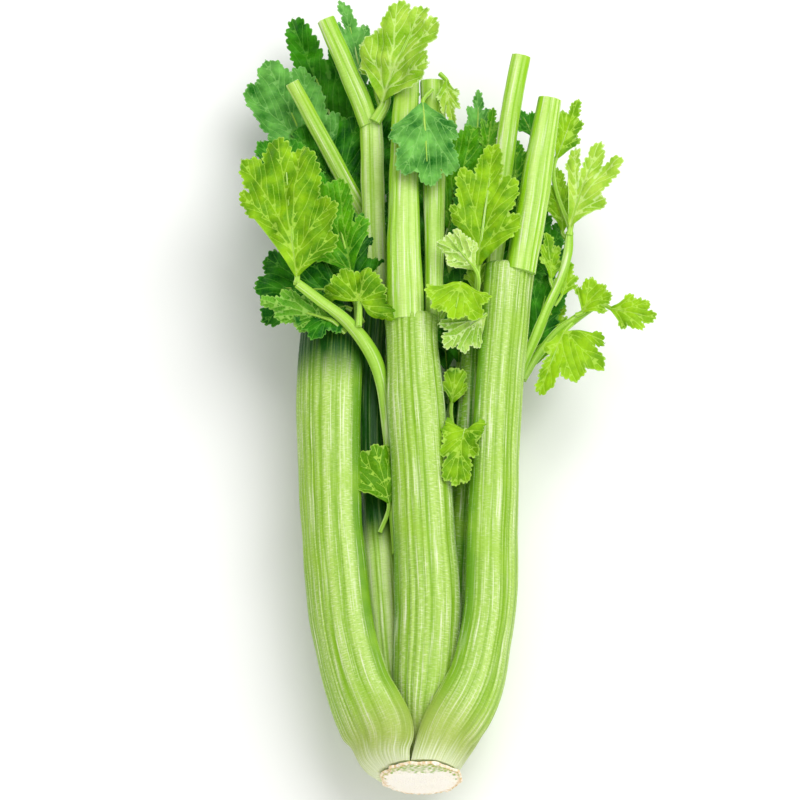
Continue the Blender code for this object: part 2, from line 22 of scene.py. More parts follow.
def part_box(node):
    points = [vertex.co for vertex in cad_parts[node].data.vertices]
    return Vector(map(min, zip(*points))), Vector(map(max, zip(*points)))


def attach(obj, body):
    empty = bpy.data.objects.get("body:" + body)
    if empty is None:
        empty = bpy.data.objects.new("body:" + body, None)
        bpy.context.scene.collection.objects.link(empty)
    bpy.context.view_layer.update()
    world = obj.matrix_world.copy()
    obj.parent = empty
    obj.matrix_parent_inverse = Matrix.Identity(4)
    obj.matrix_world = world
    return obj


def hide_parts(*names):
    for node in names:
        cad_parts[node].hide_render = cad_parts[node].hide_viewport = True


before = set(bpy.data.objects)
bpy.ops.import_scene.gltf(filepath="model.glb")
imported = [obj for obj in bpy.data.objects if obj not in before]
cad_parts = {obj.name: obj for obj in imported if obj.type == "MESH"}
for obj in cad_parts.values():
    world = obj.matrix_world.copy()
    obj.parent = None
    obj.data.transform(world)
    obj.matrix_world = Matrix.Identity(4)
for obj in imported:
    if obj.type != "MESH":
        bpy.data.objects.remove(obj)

LOG = logging.getLogger("celery")
MM = 0.001

# The crown as the CAD model has it: these place the head's frame in the crown's box.
CROWN_RADIUS = 21.0
CROWN_SLANT = 7.0
CROWN_CORE_HEIGHT = 11.5
CROWN_RIM = 1.5

# Sections turn to lie flat on the crown between these two distances from its cut.
SEAT_FLAT = 4.0
SEAT_FREE = 30.0

# How finely the meshes are made, in millimetres. A blade's inner points stand in staggered rows,
# with some room to its edge and veins, and veins that fork get points midway between them.
STATION_STEP = 1.7
OUTLINE_STEP = 0.55
LEAF_CELL = 1.15
LEAF_ROW = 0.87 * LEAF_CELL
LEAF_ROOM = 0.55 * LEAF_CELL
FORK_GAPS = (0.35, 1.2)
STEM_SIDES = 10

# Points round a stalk's section: for each rib on its outer and inner face, and spare on each.
OUTER_POINTS, INNER_POINTS, SPARE_POINTS = 9, 4, 6

# Fine veins leave a main one this far apart, in millimetres, and stop this close to another or to
# the margin, at 40 points at most. They lean out by an angle, in radians, and turn back towards
# the tip in each millimetre.
BRANCH_STEP = 5.6
BRANCH_ROOM = 2.2
BRANCH_END = 0.9
BRANCH_POINTS = 40
BRANCH_LEAN = 0.50
BRANCH_TURN = 0.010

# A leaf's margin swells into lobules this far apart, in millimetres, which carry its teeth. The
# teeth's depth is a share of their own pitch, and their lean towards the tip of their depth.
LOBULE_PITCH = 6.8
TOOTH_DEPTH = 0.36
TOOTH_LEAN = 0.62

# A blade's thickness between its veins, and how much more it has under one, in millimetres.
BLADE_THICKNESS = 0.38
VEIN_THICKNESS = 0.42

# How far a blade rises between its veins, in millimetres, and how far from one it levels out.
QUILT_RISE = 0.75
QUILT_REACH = 1.5

# Points of a blade carry how far they are from a vein, in its half widths, and from the toothed
# margin, in millimetres. Both stop growing where they no longer tint the blade.
VEIN_FAR = 8.0
MARGIN_FAR = 6.0

# Faces that meet at a sharper angle than this, in degrees, show an edge.
SHARP_EDGE = 50.0

# What would sink into the surface is pressed up against it, starting from about this height.
SETTLING = 0.6

# The sockets of a Mix node that mixes colours, by number because their names repeat.
MIX_SHARE, MIX_FROM, MIX_TO, MIXED = 0, 6, 7, 2


def seeded(name: str) -> np.random.Generator:
    """Random numbers that are the same each run for a piece's name."""
    return np.random.default_rng(zlib.crc32(name.encode()))


def smooth_step(low: float, high: float, value: np.ndarray) -> np.ndarray:
    """Ease from 0 at low to 1 at high, with no corner at either end.

    Args:
        low: The value where the result is still 0.
        high: The value where the result reaches 1. It may be less than low.
        value: The numbers to ease.

    Returns:
        The eased numbers.
    """
    share = np.clip((np.asarray(value, float) - low) / (high - low), 0.0, 1.0)
    return share * share * (3.0 - 2.0 * share)


def ripple(x: np.ndarray, y: np.ndarray, rng: np.random.Generator, pitch: float) -> np.ndarray:
    """Irregular smooth waves over a surface.

    Args:
        x: First coordinate of each point, in millimetres.
        y: Second coordinate of each point, in millimetres.
        rng: Where the waves' directions and phases come from.
        pitch: The mean distance from crest to crest, in millimetres.

    Returns:
        The height at each point, mostly between -1 and 1.
    """
    count = 6
    total = np.zeros(np.broadcast(x, y).shape)
    for _ in range(count):
        turn, phase = rng.uniform(0.0, 2.0 * math.pi, 2)
        rate = 2.0 * math.pi / (pitch * rng.uniform(0.75, 1.4))
        total = total + np.sin(rate * (x * math.cos(turn) + y * math.sin(turn)) + phase)
    return total / math.sqrt(count)


def catmull_rom(points: tuple, step: float) -> np.ndarray:
    """Waypoints joined by one smooth curve.

    Args:
        points: The waypoints, each a tuple of numbers that starts with x, y and z.
        step: The distance between the points wanted, in millimetres.

    Returns:
        The curve's points, with each of the waypoint's numbers carried along.
    """
    given = np.array(points, float)
    padded = np.vstack([2 * given[0] - given[1], given, 2 * given[-1] - given[-2]])
    found = []
    for before, start, end, after in zip(padded, padded[1:], padded[2:], padded[3:]):
        count = max(1, round(np.linalg.norm((end - start)[:3]) / step))
        t = (np.arange(count) / count)[:, None]
        found.append(0.5 * (
            2 * start + (end - before) * t + (2 * before - 5 * start + 4 * end - after) * t ** 2
            + (3 * start - before - 3 * end + after) * t ** 3
        ))
    return np.vstack([*found, given[-1:]])


def unit(vectors: np.ndarray) -> np.ndarray:
    """The vectors, each at a length of 1."""
    return vectors / np.maximum(np.linalg.norm(vectors, axis=-1, keepdims=True), 1e-9)


def lengths_along(points: np.ndarray) -> np.ndarray:
    """The distance of each point from the first, measured along the line."""
    return np.concatenate([[0.0], np.cumsum(np.linalg.norm(np.diff(points, axis=0), axis=1))])


def resampled(points: np.ndarray, step: float) -> np.ndarray:
    """A line's points, set at even distances of about a step."""
    along = lengths_along(points)
    wanted = np.linspace(0.0, along[-1], max(2, round(along[-1] / step) + 1))
    return np.stack([np.interp(wanted, along, points[:, i]) for i in range(points.shape[1])], 1)


def linear_colour(hex_colour: str) -> tuple:
    """Turn an sRGB hex colour into the linear values that shaders take.

    Args:
        hex_colour: The colour as "#RRGGBB".

    Returns:
        Red, green, blue and an alpha of 1.
    """
    def to_linear(level: float) -> float:
        """One channel from sRGB to linear."""
        return level / 12.92 if level <= 0.04045 else ((level + 0.055) / 1.055) ** 2.4

    channels = (int(hex_colour[i:i + 2], 16) / 255 for i in (1, 3, 5))
    return (*(to_linear(c) for c in channels), 1.0)


def add_node(tree: bpy.types.NodeTree, kind: str, settings: dict, links: dict,
             result: int | str = 0) -> bpy.types.NodeSocket:
    """Add a node to a material with its settings and links.

    Args:
        tree: The material's node tree.
        kind: The node's type, such as ShaderNodeMix.
        settings: A value for each property or input, by its name or the input's number.
        links: The socket that feeds each input, by the input's name or number.
        result: The name or number of the output that is wanted.

    Returns:
        That output of the new node.
    """
    node = tree.nodes.new(kind)
    for key, value in settings.items():
        if isinstance(key, str) and key in node.bl_rna.properties:
            setattr(node, key, value)
        else:
            node.inputs[key].default_value = value
    for key, source in links.items():
        tree.links.new(source, node.inputs[key])
    return node.outputs[result]


def shading_tree(name: str) -> tuple:
    """Start a material that has only its output.

    Args:
        name: The material's name.

    Returns:
        The material, its node tree and the socket for its surface.
    """
    material = bpy.data.materials.new(name)
    material.use_nodes = True
    tree = material.node_tree
    tree.nodes.clear()
    return material, tree, tree.nodes.new("ShaderNodeOutputMaterial").inputs["Surface"]


def read_marks(tree: bpy.types.NodeTree, names: tuple) -> tuple:
    """Read what a mesh's points carry.

    Args:
        tree: The material's node tree.
        names: The names of the marks that it needs.

    Returns:
        The socket of the chart, and a dictionary with the socket of each mark.
    """
    chart = add_node(tree, "ShaderNodeUVMap", {"uv_map": "skin"}, {})
    marks = {name: add_node(tree, "ShaderNodeAttribute", {"attribute_name": name}, {}, "Fac")
             for name in names}
    return chart, marks


@dataclass
class Patch:
    """A part of a mesh: points in millimetres, faces, and what each face and point carries.

    faces is a list of arrays, and finish gives the material's number for each of them. chart
    gives every point its place on the flat pattern, unless corners gives that for each corner.
    """

    points: np.ndarray
    faces: list
    chart: np.ndarray
    finish: list
    marks: dict = field(default_factory=dict)
    corners: list = field(default_factory=list)

    def corner_charts(self) -> np.ndarray:
        """The chart at every corner of every face, in order."""
        found = self.corners or [self.chart[faces] for faces in self.faces]
        return np.vstack([corners.reshape(-1, 2) for corners in found])


@dataclass
class Piece:
    """A finished piece: its patches put together, in the head's own frame.

    stands_in says whether the piece takes the place of the CAD node of its name.
    """

    name: str
    patches: list
    finishes: list
    slot: str
    stands_in: bool = True

    def build(self, seat: np.ndarray) -> None:
        """Make the object, ride it on the body and let it stand for its CAD node.

        Args:
            seat: Where the head's frame has its origin in the CAD model, in millimetres.
        """
        points = np.vstack([patch.points for patch in self.patches]) + seat
        points[:, 2] = 0.5 * (points[:, 2] + np.hypot(points[:, 2], SETTLING))
        points *= MM
        faces, corners, indices, first = [], [], [], 0
        for patch in self.patches:
            for given, finish in zip(patch.faces, patch.finish):
                faces += (given + first).tolist()
                indices += [finish] * len(given)
            corners.append(patch.corner_charts())
            first += len(patch.points)
        mesh = bpy.data.meshes.new(self.name)
        mesh.from_pydata(points.tolist(), [], faces)
        mesh.polygons.foreach_set("material_index", indices)
        chart = mesh.uv_layers.new(name="skin")
        chart.data.foreach_set("uv", np.vstack(corners).ravel())
        for mark in sorted({key for patch in self.patches for key in patch.marks}):
            values = [p.marks.get(mark, np.zeros(len(p.points))) for p in self.patches]
            layer = mesh.attributes.new(mark, "FLOAT", "POINT")
            layer.data.foreach_set("value", np.concatenate(values).astype(np.float32))
        mesh.shade_smooth()
        mesh.set_sharp_from_angle(angle=math.radians(SHARP_EDGE))
        for finish in self.finishes:
            mesh.materials.append(finish)
        obj = bpy.data.objects.new(self.name + "_skin", mesh)
        bpy.context.scene.collection.objects.link(obj)
        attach(obj, "root")
        if self.stands_in:
            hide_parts(self.name)
        LOG.info("%s: %d faces", self.name, len(faces))


# ---------------------------------------------------------------------------------------------
# Finishes
# ---------------------------------------------------------------------------------------------


@dataclass(frozen=True)
class CelerySkin:
    """The waxy skin of a fresh celery stalk, grown in ribs over its strings.

    The strings lie close under each rib and make it pale, and the tissue between them is
    greener. The wax gives a soft broad shine, and light goes a few millimetres into the flesh.
    """

    name: str
    ridge: str = "#B2D268"
    groove: str = "#7CAA18"
    flank: str = "#578F08"
    base: str = "#E2E8C4"
    foot: str = "#A4AE58"
    shoot: str = "#97C22E"
    shade: str = "#0E4A00"
    roughness: float = 0.40
    # How strong the painted shade in the wrinkles' creases and the painted glints on their raised
    # skin are.
    pebble_shading: float = 0.45
    threads: float = 0.8

    def material(self) -> bpy.types.Material:
        """Make the skin's material. Its chart is in millimetres: across the face, and along."""
        material, tree, surface = shading_tree(self.name)
        chart, marks = read_marks(tree, ("ridge", "flank", "from_crown", "shade"))
        # Strings show as streaks 1 mm wide and 40 mm long. Wrinkles cross the ribs 0.7 mm apart;
        # real ones are finer and would not show. In bands 5 mm wide the strings lie deeper and
        # the skin is greener, and clouds 20 mm wide vary its colour and shine.
        streaks, wrinkles, bands, clouds = (
            add_node(tree, "ShaderNodeTexNoise",
                     {"noise_dimensions": "2D", "Scale": 1.0, "Detail": detail, "Roughness": rough},
                     {"Vector": add_node(tree, "ShaderNodeVectorMath",
                                         {"operation": "MULTIPLY", 1: (across, along, 0.0)},
                                         {0: chart})})
            for across, along, detail, rough in ((1.0, 0.025, 3.0, 0.6), (0.42, 1.45, 2.0, 0.5),
                                                 (0.2, 0.004, 1.0, 0.5), (0.05, 0.05, 2.0, 0.5))
        )
        banded = add_node(tree, "ShaderNodeMath",
                          {"operation": "MULTIPLY_ADD", 1: 1.5, 2: -1.22}, {0: bands})
        swing = add_node(tree, "ShaderNodeMath",
                         {"operation": "MULTIPLY_ADD", 1: 1.1}, {0: streaks, 2: banded})
        pale = add_node(tree, "ShaderNodeMath", {"operation": "ADD", "use_clamp": True},
                        {0: marks["ridge"], 1: swing})
        # Light never reached the foot of the head, so it stays nearly white there, in streaks.
        foot_line = add_node(tree, "ShaderNodeMath",
                             {"operation": "MULTIPLY_ADD", 1: 30.0, 2: -15.0}, {0: streaks})
        foot_gap = add_node(tree, "ShaderNodeMath", {"operation": "ADD"},
                            {0: marks["from_crown"], 1: foot_line})
        # Painted shade darkens the creases between the wrinkles, and the edges that face the middle
        # of the head.
        flank_and_shade, crease_shade, raised, thread, clouded, faded, blanched = (
            add_node(tree, "ShaderNodeMapRange",
                     {"interpolation_type": ease, "From Min": low, "From Max": high,
                      "To Max": most}, {"Value": source})
            for source, ease, low, high, most in (
                (marks["flank"], "LINEAR", 0.0, 1.0, 0.9),
                (wrinkles, "LINEAR", 0.54, 0.70, 0.55 * self.pebble_shading),
                (wrinkles, "LINEAR", 0.45, 0.30, self.pebble_shading),
                (streaks, "LINEAR", 0.56, 0.70, self.threads),
                (clouds, "LINEAR", 0.48, 0.75, 0.45),
                (marks["from_crown"], "SMOOTHSTEP", 42.0, 12.0, 0.62),
                (foot_gap, "SMOOTHSTEP", 17.0, 0.0, 0.9))
        )
        # Where a string lies just under pale skin it shows as a nearly white line. The raised skin
        # between the wrinkles gets painted glints, small painted highlights.
        glints, threads = (add_node(tree, "ShaderNodeMath", {"operation": "MULTIPLY"},
                                    {0: share, 1: pale}) for share in (raised, thread))
        # Painted shade: deep among the leaves, where their shadow falls, the skin is painted dark
        # green, first in its grooves.
        deep_share = add_node(tree, "ShaderNodeMath",
                              {"operation": "MULTIPLY_ADD", 1: 0.9, 2: -0.45}, {0: streaks})
        deep = add_node(tree, "ShaderNodeMath", {"operation": "MULTIPLY_ADD", "use_clamp": True},
                        {0: marks["shade"], 1: deep_share, 2: marks["shade"]})
        colour = add_node(tree, "ShaderNodeMix",
                          {"data_type": "RGBA", MIX_FROM: linear_colour(self.groove),
                           MIX_TO: linear_colour(self.ridge)}, {MIX_SHARE: pale}, MIXED)
        for coat, share in ((self.flank, flank_and_shade), (self.flank, crease_shade), (self.base, glints),
                            (self.base, threads), (self.shoot, clouded), (self.foot, faded),
                            (self.base, blanched), (self.shade, deep)):
            colour = add_node(tree, "ShaderNodeMix",
                              {"data_type": "RGBA", MIX_TO: linear_colour(coat)},
                              {MIX_SHARE: share, MIX_FROM: colour}, MIXED)
        relief = add_node(tree, "ShaderNodeMath", {"operation": "SUBTRACT"},
                          {0: streaks, 1: wrinkles})
        bump = add_node(tree, "ShaderNodeBump", {"Strength": 0.6, "Distance": 0.0003},
                        {"Height": relief})
        shine = add_node(tree, "ShaderNodeMapRange",
                         {"To Min": self.roughness - 0.07, "To Max": self.roughness + 0.12},
                         {"Value": clouds})
        shader = add_node(tree, "ShaderNodeBsdfPrincipled",
                          {"IOR": 1.42, "Specular IOR Level": 0.3, "Subsurface Weight": 0.15,
                           "Subsurface Radius": (0.8, 1.0, 0.25), "Subsurface Scale": 0.0015},
                          {"Base Color": colour, "Roughness": shine, "Normal": bump})
        tree.links.new(shader, surface)
        return material


@dataclass(frozen=True)
class LeafBlade:
    """A side of a fresh celery leaf: a thin waxed sheet over a net of pale veins.

    The upper side is deep green with a soft shine. The underside is paler and duller, because
    air lies under its skin, and its veins stand out.
    """

    name: str
    light: str
    dark: str
    vein: str
    margin: str
    roughness: float = 0.40
    net: float = 0.35

    def material(self) -> bpy.types.Material:
        """Make the blade's material. Its chart is the flat leaf, in millimetres."""
        material, tree, surface = shading_tree(self.name)
        chart, marks = read_marks(tree, ("vein", "margin", "tone"))
        # The green varies in patches about 9 mm wide.
        mottle = add_node(tree, "ShaderNodeTexNoise",
                          {"noise_dimensions": "2D", "Scale": 0.11, "Detail": 3.0},
                          {"Vector": chart})
        # The finest veins close into meshes about 1.6 mm wide.
        meshes = add_node(tree, "ShaderNodeTexVoronoi",
                          {"voronoi_dimensions": "2D", "feature": "DISTANCE_TO_EDGE",
                           "Scale": 0.62}, {"Vector": chart}, "Distance")
        patchy = add_node(tree, "ShaderNodeMath",
                          {"operation": "MULTIPLY_ADD", 1: 2.0, 2: -0.5}, {0: mottle})
        # Per leaf, the green is made lighter as painted light on leaves in the open, and darker as
        # painted shade on leaves deep in the bunch, over its own random patches.
        lit = add_node(tree, "ShaderNodeMath", {"operation": "ADD", "use_clamp": True},
                       {0: patchy, 1: marks["tone"]})
        colour = add_node(tree, "ShaderNodeMix",
                          {"data_type": "RGBA", MIX_FROM: linear_colour(self.dark),
                           MIX_TO: linear_colour(self.light)}, {MIX_SHARE: lit}, MIXED)
        for coat, near, low, high, most in ((self.vein, meshes, 0.13, 0.02, self.net),
                                            (self.vein, marks["vein"], 1.5, 0.2, 0.62),
                                            (self.margin, marks["margin"], 0.5, 0.0, 0.55)):
            share = add_node(tree, "ShaderNodeMapRange",
                             {"From Min": low, "From Max": high, "To Max": most}, {"Value": near})
            colour = add_node(tree, "ShaderNodeMix",
                              {"data_type": "RGBA", MIX_TO: linear_colour(coat)},
                              {MIX_SHARE: share, MIX_FROM: colour}, MIXED)
        bump = add_node(tree, "ShaderNodeBump", {"Strength": 0.55, "Distance": 0.0003},
                        {"Height": meshes})
        shader = add_node(tree, "ShaderNodeBsdfPrincipled",
                          {"IOR": 1.42, "Roughness": self.roughness, "Specular IOR Level": 0.14,
                           "Subsurface Weight": 0.12, "Subsurface Radius": (0.5, 1.0, 0.1),
                           "Subsurface Scale": 0.0012}, {"Base Color": colour, "Normal": bump})
        tree.links.new(shader, surface)
        return material


@dataclass(frozen=True)
class CutFlesh:
    """Celery cut through with a knife: damp pale flesh with the ends of its strings.

    The cut dries from its rim inwards, so the rim turns tan and rough while the middle stays
    cream. The string ends are small green dots.
    """

    name: str
    flesh: str = "#FFF6E8"
    rim: str = "#DDB978"
    string: str = "#86B010"
    dried: float = 1.0

    def material(self) -> bpy.types.Material:
        """Make the flesh's material. Its chart is the flat cut, in millimetres."""
        material, tree, surface = shading_tree(self.name)
        chart, marks = read_marks(tree, ("rim", "string"))
        grain = add_node(tree, "ShaderNodeTexNoise",
                         {"noise_dimensions": "2D", "Scale": 0.55, "Detail": 4.0,
                          "Roughness": 0.65}, {"Vector": chart})
        # The flesh's cells are too fine to show, so they are drawn about 0.9 mm wide.
        cells = add_node(tree, "ShaderNodeTexVoronoi",
                         {"voronoi_dimensions": "2D", "Scale": 1.1}, {"Vector": chart}, "Distance")
        uneven = add_node(tree, "ShaderNodeMath",
                          {"operation": "MULTIPLY_ADD", 1: 0.55, 2: -0.27}, {0: grain})
        drying = add_node(tree, "ShaderNodeMath", {"operation": "ADD"},
                          {0: marks["rim"], 1: uneven})
        browned = add_node(tree, "ShaderNodeMapRange",
                           {"From Min": 0.80, "From Max": 1.04, "To Max": self.dried},
                           {"Value": drying})
        tanned = add_node(tree, "ShaderNodeMix",
                          {"data_type": "RGBA", MIX_FROM: linear_colour(self.flesh),
                           MIX_TO: linear_colour(self.rim)}, {MIX_SHARE: browned}, MIXED)
        stringed = add_node(tree, "ShaderNodeMix",
                            {"data_type": "RGBA", MIX_TO: linear_colour(self.string)},
                            {MIX_SHARE: marks["string"], MIX_FROM: tanned}, MIXED)
        bump = add_node(tree, "ShaderNodeBump", {"Strength": 0.6, "Distance": 0.0005},
                        {"Height": cells})
        shader = add_node(tree, "ShaderNodeBsdfPrincipled",
                          {"IOR": 1.38, "Roughness": 0.48, "Subsurface Weight": 0.35,
                           "Subsurface Radius": (1.0, 0.9, 0.6), "Subsurface Scale": 0.002},
                          {"Base Color": stringed, "Normal": bump})
        tree.links.new(shader, surface)
        return material


@dataclass(frozen=True)
class StudioPaper:
    """A roll of matt white paper: an even pale ground with a soft contact shadow."""

    name: str = "studio_paper"
    tint: str = "#F7F7F5"

    def material(self) -> bpy.types.Material:
        """Make the paper's material."""
        material, tree, surface = shading_tree(self.name)
        place = add_node(tree, "ShaderNodeTexCoord", {}, {}, "Object")
        # Paper fibres are far too fine to show, so the tooth is drawn at 5 mm.
        tooth = add_node(tree, "ShaderNodeTexNoise", {"Scale": 200.0, "Detail": 2.0},
                         {"Vector": place})
        bump = add_node(tree, "ShaderNodeBump", {"Strength": 0.05, "Distance": 0.0002},
                        {"Height": tooth})
        shader = add_node(tree, "ShaderNodeBsdfPrincipled",
                          {"Base Color": linear_colour(self.tint), "Roughness": 0.85,
                           "IOR": 1.3}, {"Normal": bump})
        tree.links.new(shader, surface)
        return material


# ---------------------------------------------------------------------------------------------
# Stalks and stems
# ---------------------------------------------------------------------------------------------


class Rib(Enum):
    """A kind of rib: its share of the face, how peaked it is, its height and how pale it is."""

    BROAD = (1.7, 0.50, 0.9, 1.00)
    PLAIN = (1.0, 0.85, 0.8, 0.75)
    FINE = (0.6, 1.20, 0.9, 0.95)
    GREEN = (1.2, 0.70, 0.5, 0.10)


class End(Enum):
    """How a stalk or stem ends at its top."""

    CUT = "cut square when picked"
    SHOULDER = "rounded off under a joint"
    SUNK = "hidden in what it grows into"


# How full a section is: 1 is an ellipse, and less is squarer.
SECTION_FULLNESS = 0.75


@dataclass(frozen=True)
class Run:
    """A stalk or stem, swept along its waypoints with a curled, ribbed section.

    Each waypoint is x, y, z, the width across the outer face and the face's direction in the
    X-Z plane, in degrees. depth is the thickness and curl how far the edges bend back, both as
    shares of the width at the bottom and at the top. sunk is how far each end reaches into what
    it grows from. shaded is where the skin lies deep among the leaves and gets painted shade, a
    dark green for the shadow they cast: from, fully from, fully to and to, as distances from
    the cut.
    """

    name: str
    waypoints: tuple
    depth: tuple
    curl: tuple = (0.0, 0.0)
    ribs: tuple = (Rib.PLAIN,) * 6
    rib_height: float = 0.48
    slot: str = "stalk"
    skin: str = "outer"
    top: End = End.CUT
    sunk: tuple = (0.0, 0.0)
    shaded: tuple = ()

    def stations(self) -> np.ndarray:
        """The points along the run, with the sunk ends added."""
        found = catmull_rom(self.waypoints, STATION_STEP)
        for at_top, extra in enumerate(self.sunk):
            if extra:
                end, beside = (found[-1], found[-2]) if at_top else (found[0], found[1])
                longer = end.copy()
                longer[:3] += extra * unit((end - beside)[:3])
                found = np.vstack([found, longer] if at_top else [longer, found])
        return found

    def ring_shares(self, share: np.ndarray) -> tuple:
        """The section's own outline at each station, for a width of 1.

        Args:
            share: How far along the run each station is, from 0 to 1.

        Returns:
            Across, out, the place round the outline and the count of points on the outer face.
        """
        outer = OUTER_POINTS * len(self.ribs) + SPARE_POINTS
        inner = INNER_POINTS * len(self.ribs) + SPARE_POINTS
        depth = self.depth[0] + share * (self.depth[1] - self.depth[0])
        curl = self.curl[0] + share * (self.curl[1] - self.curl[0])
        across, out = [], []
        halves = ((np.linspace(math.pi, 0.0, 121), outer), (np.linspace(0.0, -math.pi, 61), inner))
        for thick, bend in zip(depth, curl):
            sides = []
            for turn, count in halves:
                swell = np.sign(np.sin(turn)) * np.abs(np.sin(turn)) ** SECTION_FULLNESS
                line = np.stack([0.5 * np.cos(turn),
                                 0.5 * thick * swell - bend * np.cos(turn) ** 2], 1)
                along = lengths_along(line)
                wanted = np.linspace(0.0, along[-1], count, endpoint=False)
                sides.append(np.stack([np.interp(wanted, along, line[:, i]) for i in (0, 1)], 1))
            ring = np.vstack(sides)
            across.append(ring[:, 0])
            out.append(ring[:, 1])
        place = np.concatenate([np.arange(outer) / outer, 1.0 + np.arange(inner) / inner])
        return np.array(across), np.array(out), place, outer

    def rib_relief(self, place: np.ndarray, along: np.ndarray, rng: np.random.Generator) -> tuple:
        """The ribs of the outer face.

        Args:
            place: How far across the face each column is, from 0 to 1.
            along: How far along the run each station is, in millimetres.
            rng: Where the ribs' unevenness comes from.

        Returns:
            The relief, as a share of the rib height, and how pale each point is.
        """
        kinds = [rib.value for rib in self.ribs]
        pitches = np.array([kind[0] for kind in kinds]) * rng.uniform(0.6, 1.4, len(kinds))
        bounds = np.concatenate([[0.0], np.cumsum(pitches) / pitches.sum()])
        sway = 0.006 * ripple(along[:, None] + 0 * place, 30.0 * place[None, :], rng, 70.0)
        where = np.clip(place[None, :] + sway, 0.0, 0.9999)
        index = np.clip(np.searchsorted(bounds, where, side="right") - 1, 0, len(kinds) - 1)
        phase = (where - bounds[index]) / (bounds[index + 1] - bounds[index])
        peaked, height, pale = (np.array([kind[i] for kind in kinds])[index] for i in (1, 2, 3))
        crest = (0.5 - 0.5 * np.cos(2.0 * math.pi * phase)) ** peaked
        height = height * (1.0 + 0.25 * ripple(along[:, None] + 0 * where, 9.0 * index, rng, 60.0))
        tint = rng.uniform(0.65, 1.15, len(kinds))[index]
        return height * (crest - 0.5), crest ** 0.6 * pale * tint

    def piece(self, skins: dict, flesh: bpy.types.Material) -> Piece:
        """Sweep the run.

        Args:
            skins: The skin materials by their names.
            flesh: The material of a cut end.

        Returns:
            The finished piece.
        """
        rng = seeded(self.name)
        stations = self.stations()
        centres, facing = stations[:, :3], np.radians(stations[:, 4])
        along = lengths_along(centres)
        forward = seated(unit(np.gradient(centres, along, axis=0)), centres[:, 1])
        face = np.stack([np.cos(facing), 0 * facing, np.sin(facing)], 1)
        outward = unit(face - (face * forward).sum(1, keepdims=True) * forward)
        sideways = np.cross(forward, outward)
        width = stations[:, 3] * (1.0 + 0.012 * ripple(along, 0 * along, rng, 45.0))
        across, out, place, outer = self.ring_shares(along / along[-1])
        across, out = across * width[:, None], out * width[:, None]
        slope = np.stack([np.roll(across, -1, 1) - np.roll(across, 1, 1),
                          np.roll(out, -1, 1) - np.roll(out, 1, 1)], -1)
        normal = unit(np.stack([-slope[..., 1], slope[..., 0]], -1))
        push, pale = self.skin_relief(place, outer, along, rng)
        push *= (np.clip(width / width.max(), 0.35, 1.0)
                 * (0.45 + 0.55 * smooth_step(4.0, 34.0, centres[:, 1])))[:, None]
        push += 0.18 * ripple(place[None, :] * 30.0, along[:, None], rng, 26.0)
        across, out = across + push * normal[..., 0], out + push * normal[..., 1]
        rings = (centres[:, None] + across[..., None] * sideways[:, None]
                 + out[..., None] * outward[:, None])
        marks = {
            "ridge": pale.ravel(),
            "flank": self.flanks(rings, centres, place[:outer]).ravel(),
            "from_crown": np.repeat(centres[:, 1], len(place)),
            "shade": np.repeat(self.shade(centres[:, 1]), len(place)),
        }
        if self.top is End.SHOULDER:
            rounded = shrunk(rings[-1], SHOULDER_SHARES, SHOULDER_RISES, forward[-1])[1:]
            rings = np.concatenate([rings, rounded])
            along = np.concatenate([along, along[-1] + np.arange(1, len(rounded) + 1)])
            marks = {key: np.concatenate([values, np.tile(values[-len(place):], len(rounded))])
                     for key, values in marks.items()}
        around = np.concatenate([place, [2.0]]) * width.max() * 1.1
        patches = [swept_patch(rings, around, along, 0, marks),
                   *self.end_patches(rings, sideways, outward, forward, marks)]
        return Piece(self.name, patches, [skins[self.skin], flesh], self.slot)

    def skin_relief(self, place: np.ndarray, outer: int, along: np.ndarray,
                    rng: np.random.Generator) -> tuple:
        """How far the ribs push the skin out, on the outer face and more weakly on the inner.

        Args:
            place: The place round the outline, from 0 to 1 on the outer face and then to 2.
            outer: The count of points on the outer face.
            along: How far along the run each station is, in millimetres.
            rng: Where the ribs' unevenness comes from.

        Returns:
            The height at each point, in millimetres, and how pale each point is.
        """
        relief, pale = self.rib_relief(place[:outer], along, rng)
        ease = smooth_step(0.0, 0.05, place[:outer]) * smooth_step(1.0, 0.95, place[:outer])
        lines = np.sin(math.pi * (place[outer:] - 1.0) * len(self.ribs)) ** 2
        lines = lines + 0.0 * along[:, None]
        return (np.hstack([self.rib_height * relief * ease, 0.12 * (lines - 0.5)]),
                np.hstack([pale, 0.35 + 0.2 * lines]))

    @staticmethod
    def flanks(rings: np.ndarray, centres: np.ndarray, place: np.ndarray) -> np.ndarray:
        """How far each point lies on the greener skin of the edges and the inner face.

        It is greenest where it faces the middle of the head, which is painted shade where the
        stalks crowd each other, and it fades out towards the foot.

        Args:
            rings: The run's rings of points.
            centres: The middle of each ring.
            place: How far across the outer face each of its points is, from 0 to 1.

        Returns:
            The share of green at each point.
        """
        away = rings - centres[:, None]
        inward = -(away[..., 0] * centres[:, None, 0] + away[..., 2] * centres[:, None, 2])
        inward /= np.hypot(away[..., 0], away[..., 2])
        inward /= np.hypot(centres[:, 0], centres[:, 2])[:, None]
        green = np.ones(rings.shape[1])
        green[:len(place)] = smooth_step(0.60, 0.90, np.abs(place - 0.5) * 2.0)
        return (green * (0.25 + 0.75 * smooth_step(-0.35, 0.45, inward))
                * smooth_step(28.0, 85.0, centres[:, 1])[:, None])

    def shade(self, y: np.ndarray) -> np.ndarray:
        """How dark green each station is, from 0 to 1.

        Args:
            y: How far each station is from the cut.

        Returns:
            The share of dark green, which is painted shade.
        """
        if not self.shaded:
            return 0.0 * y
        start, full, full_end, end = self.shaded
        return smooth_step(start, full, y) * smooth_step(end, full_end, y)

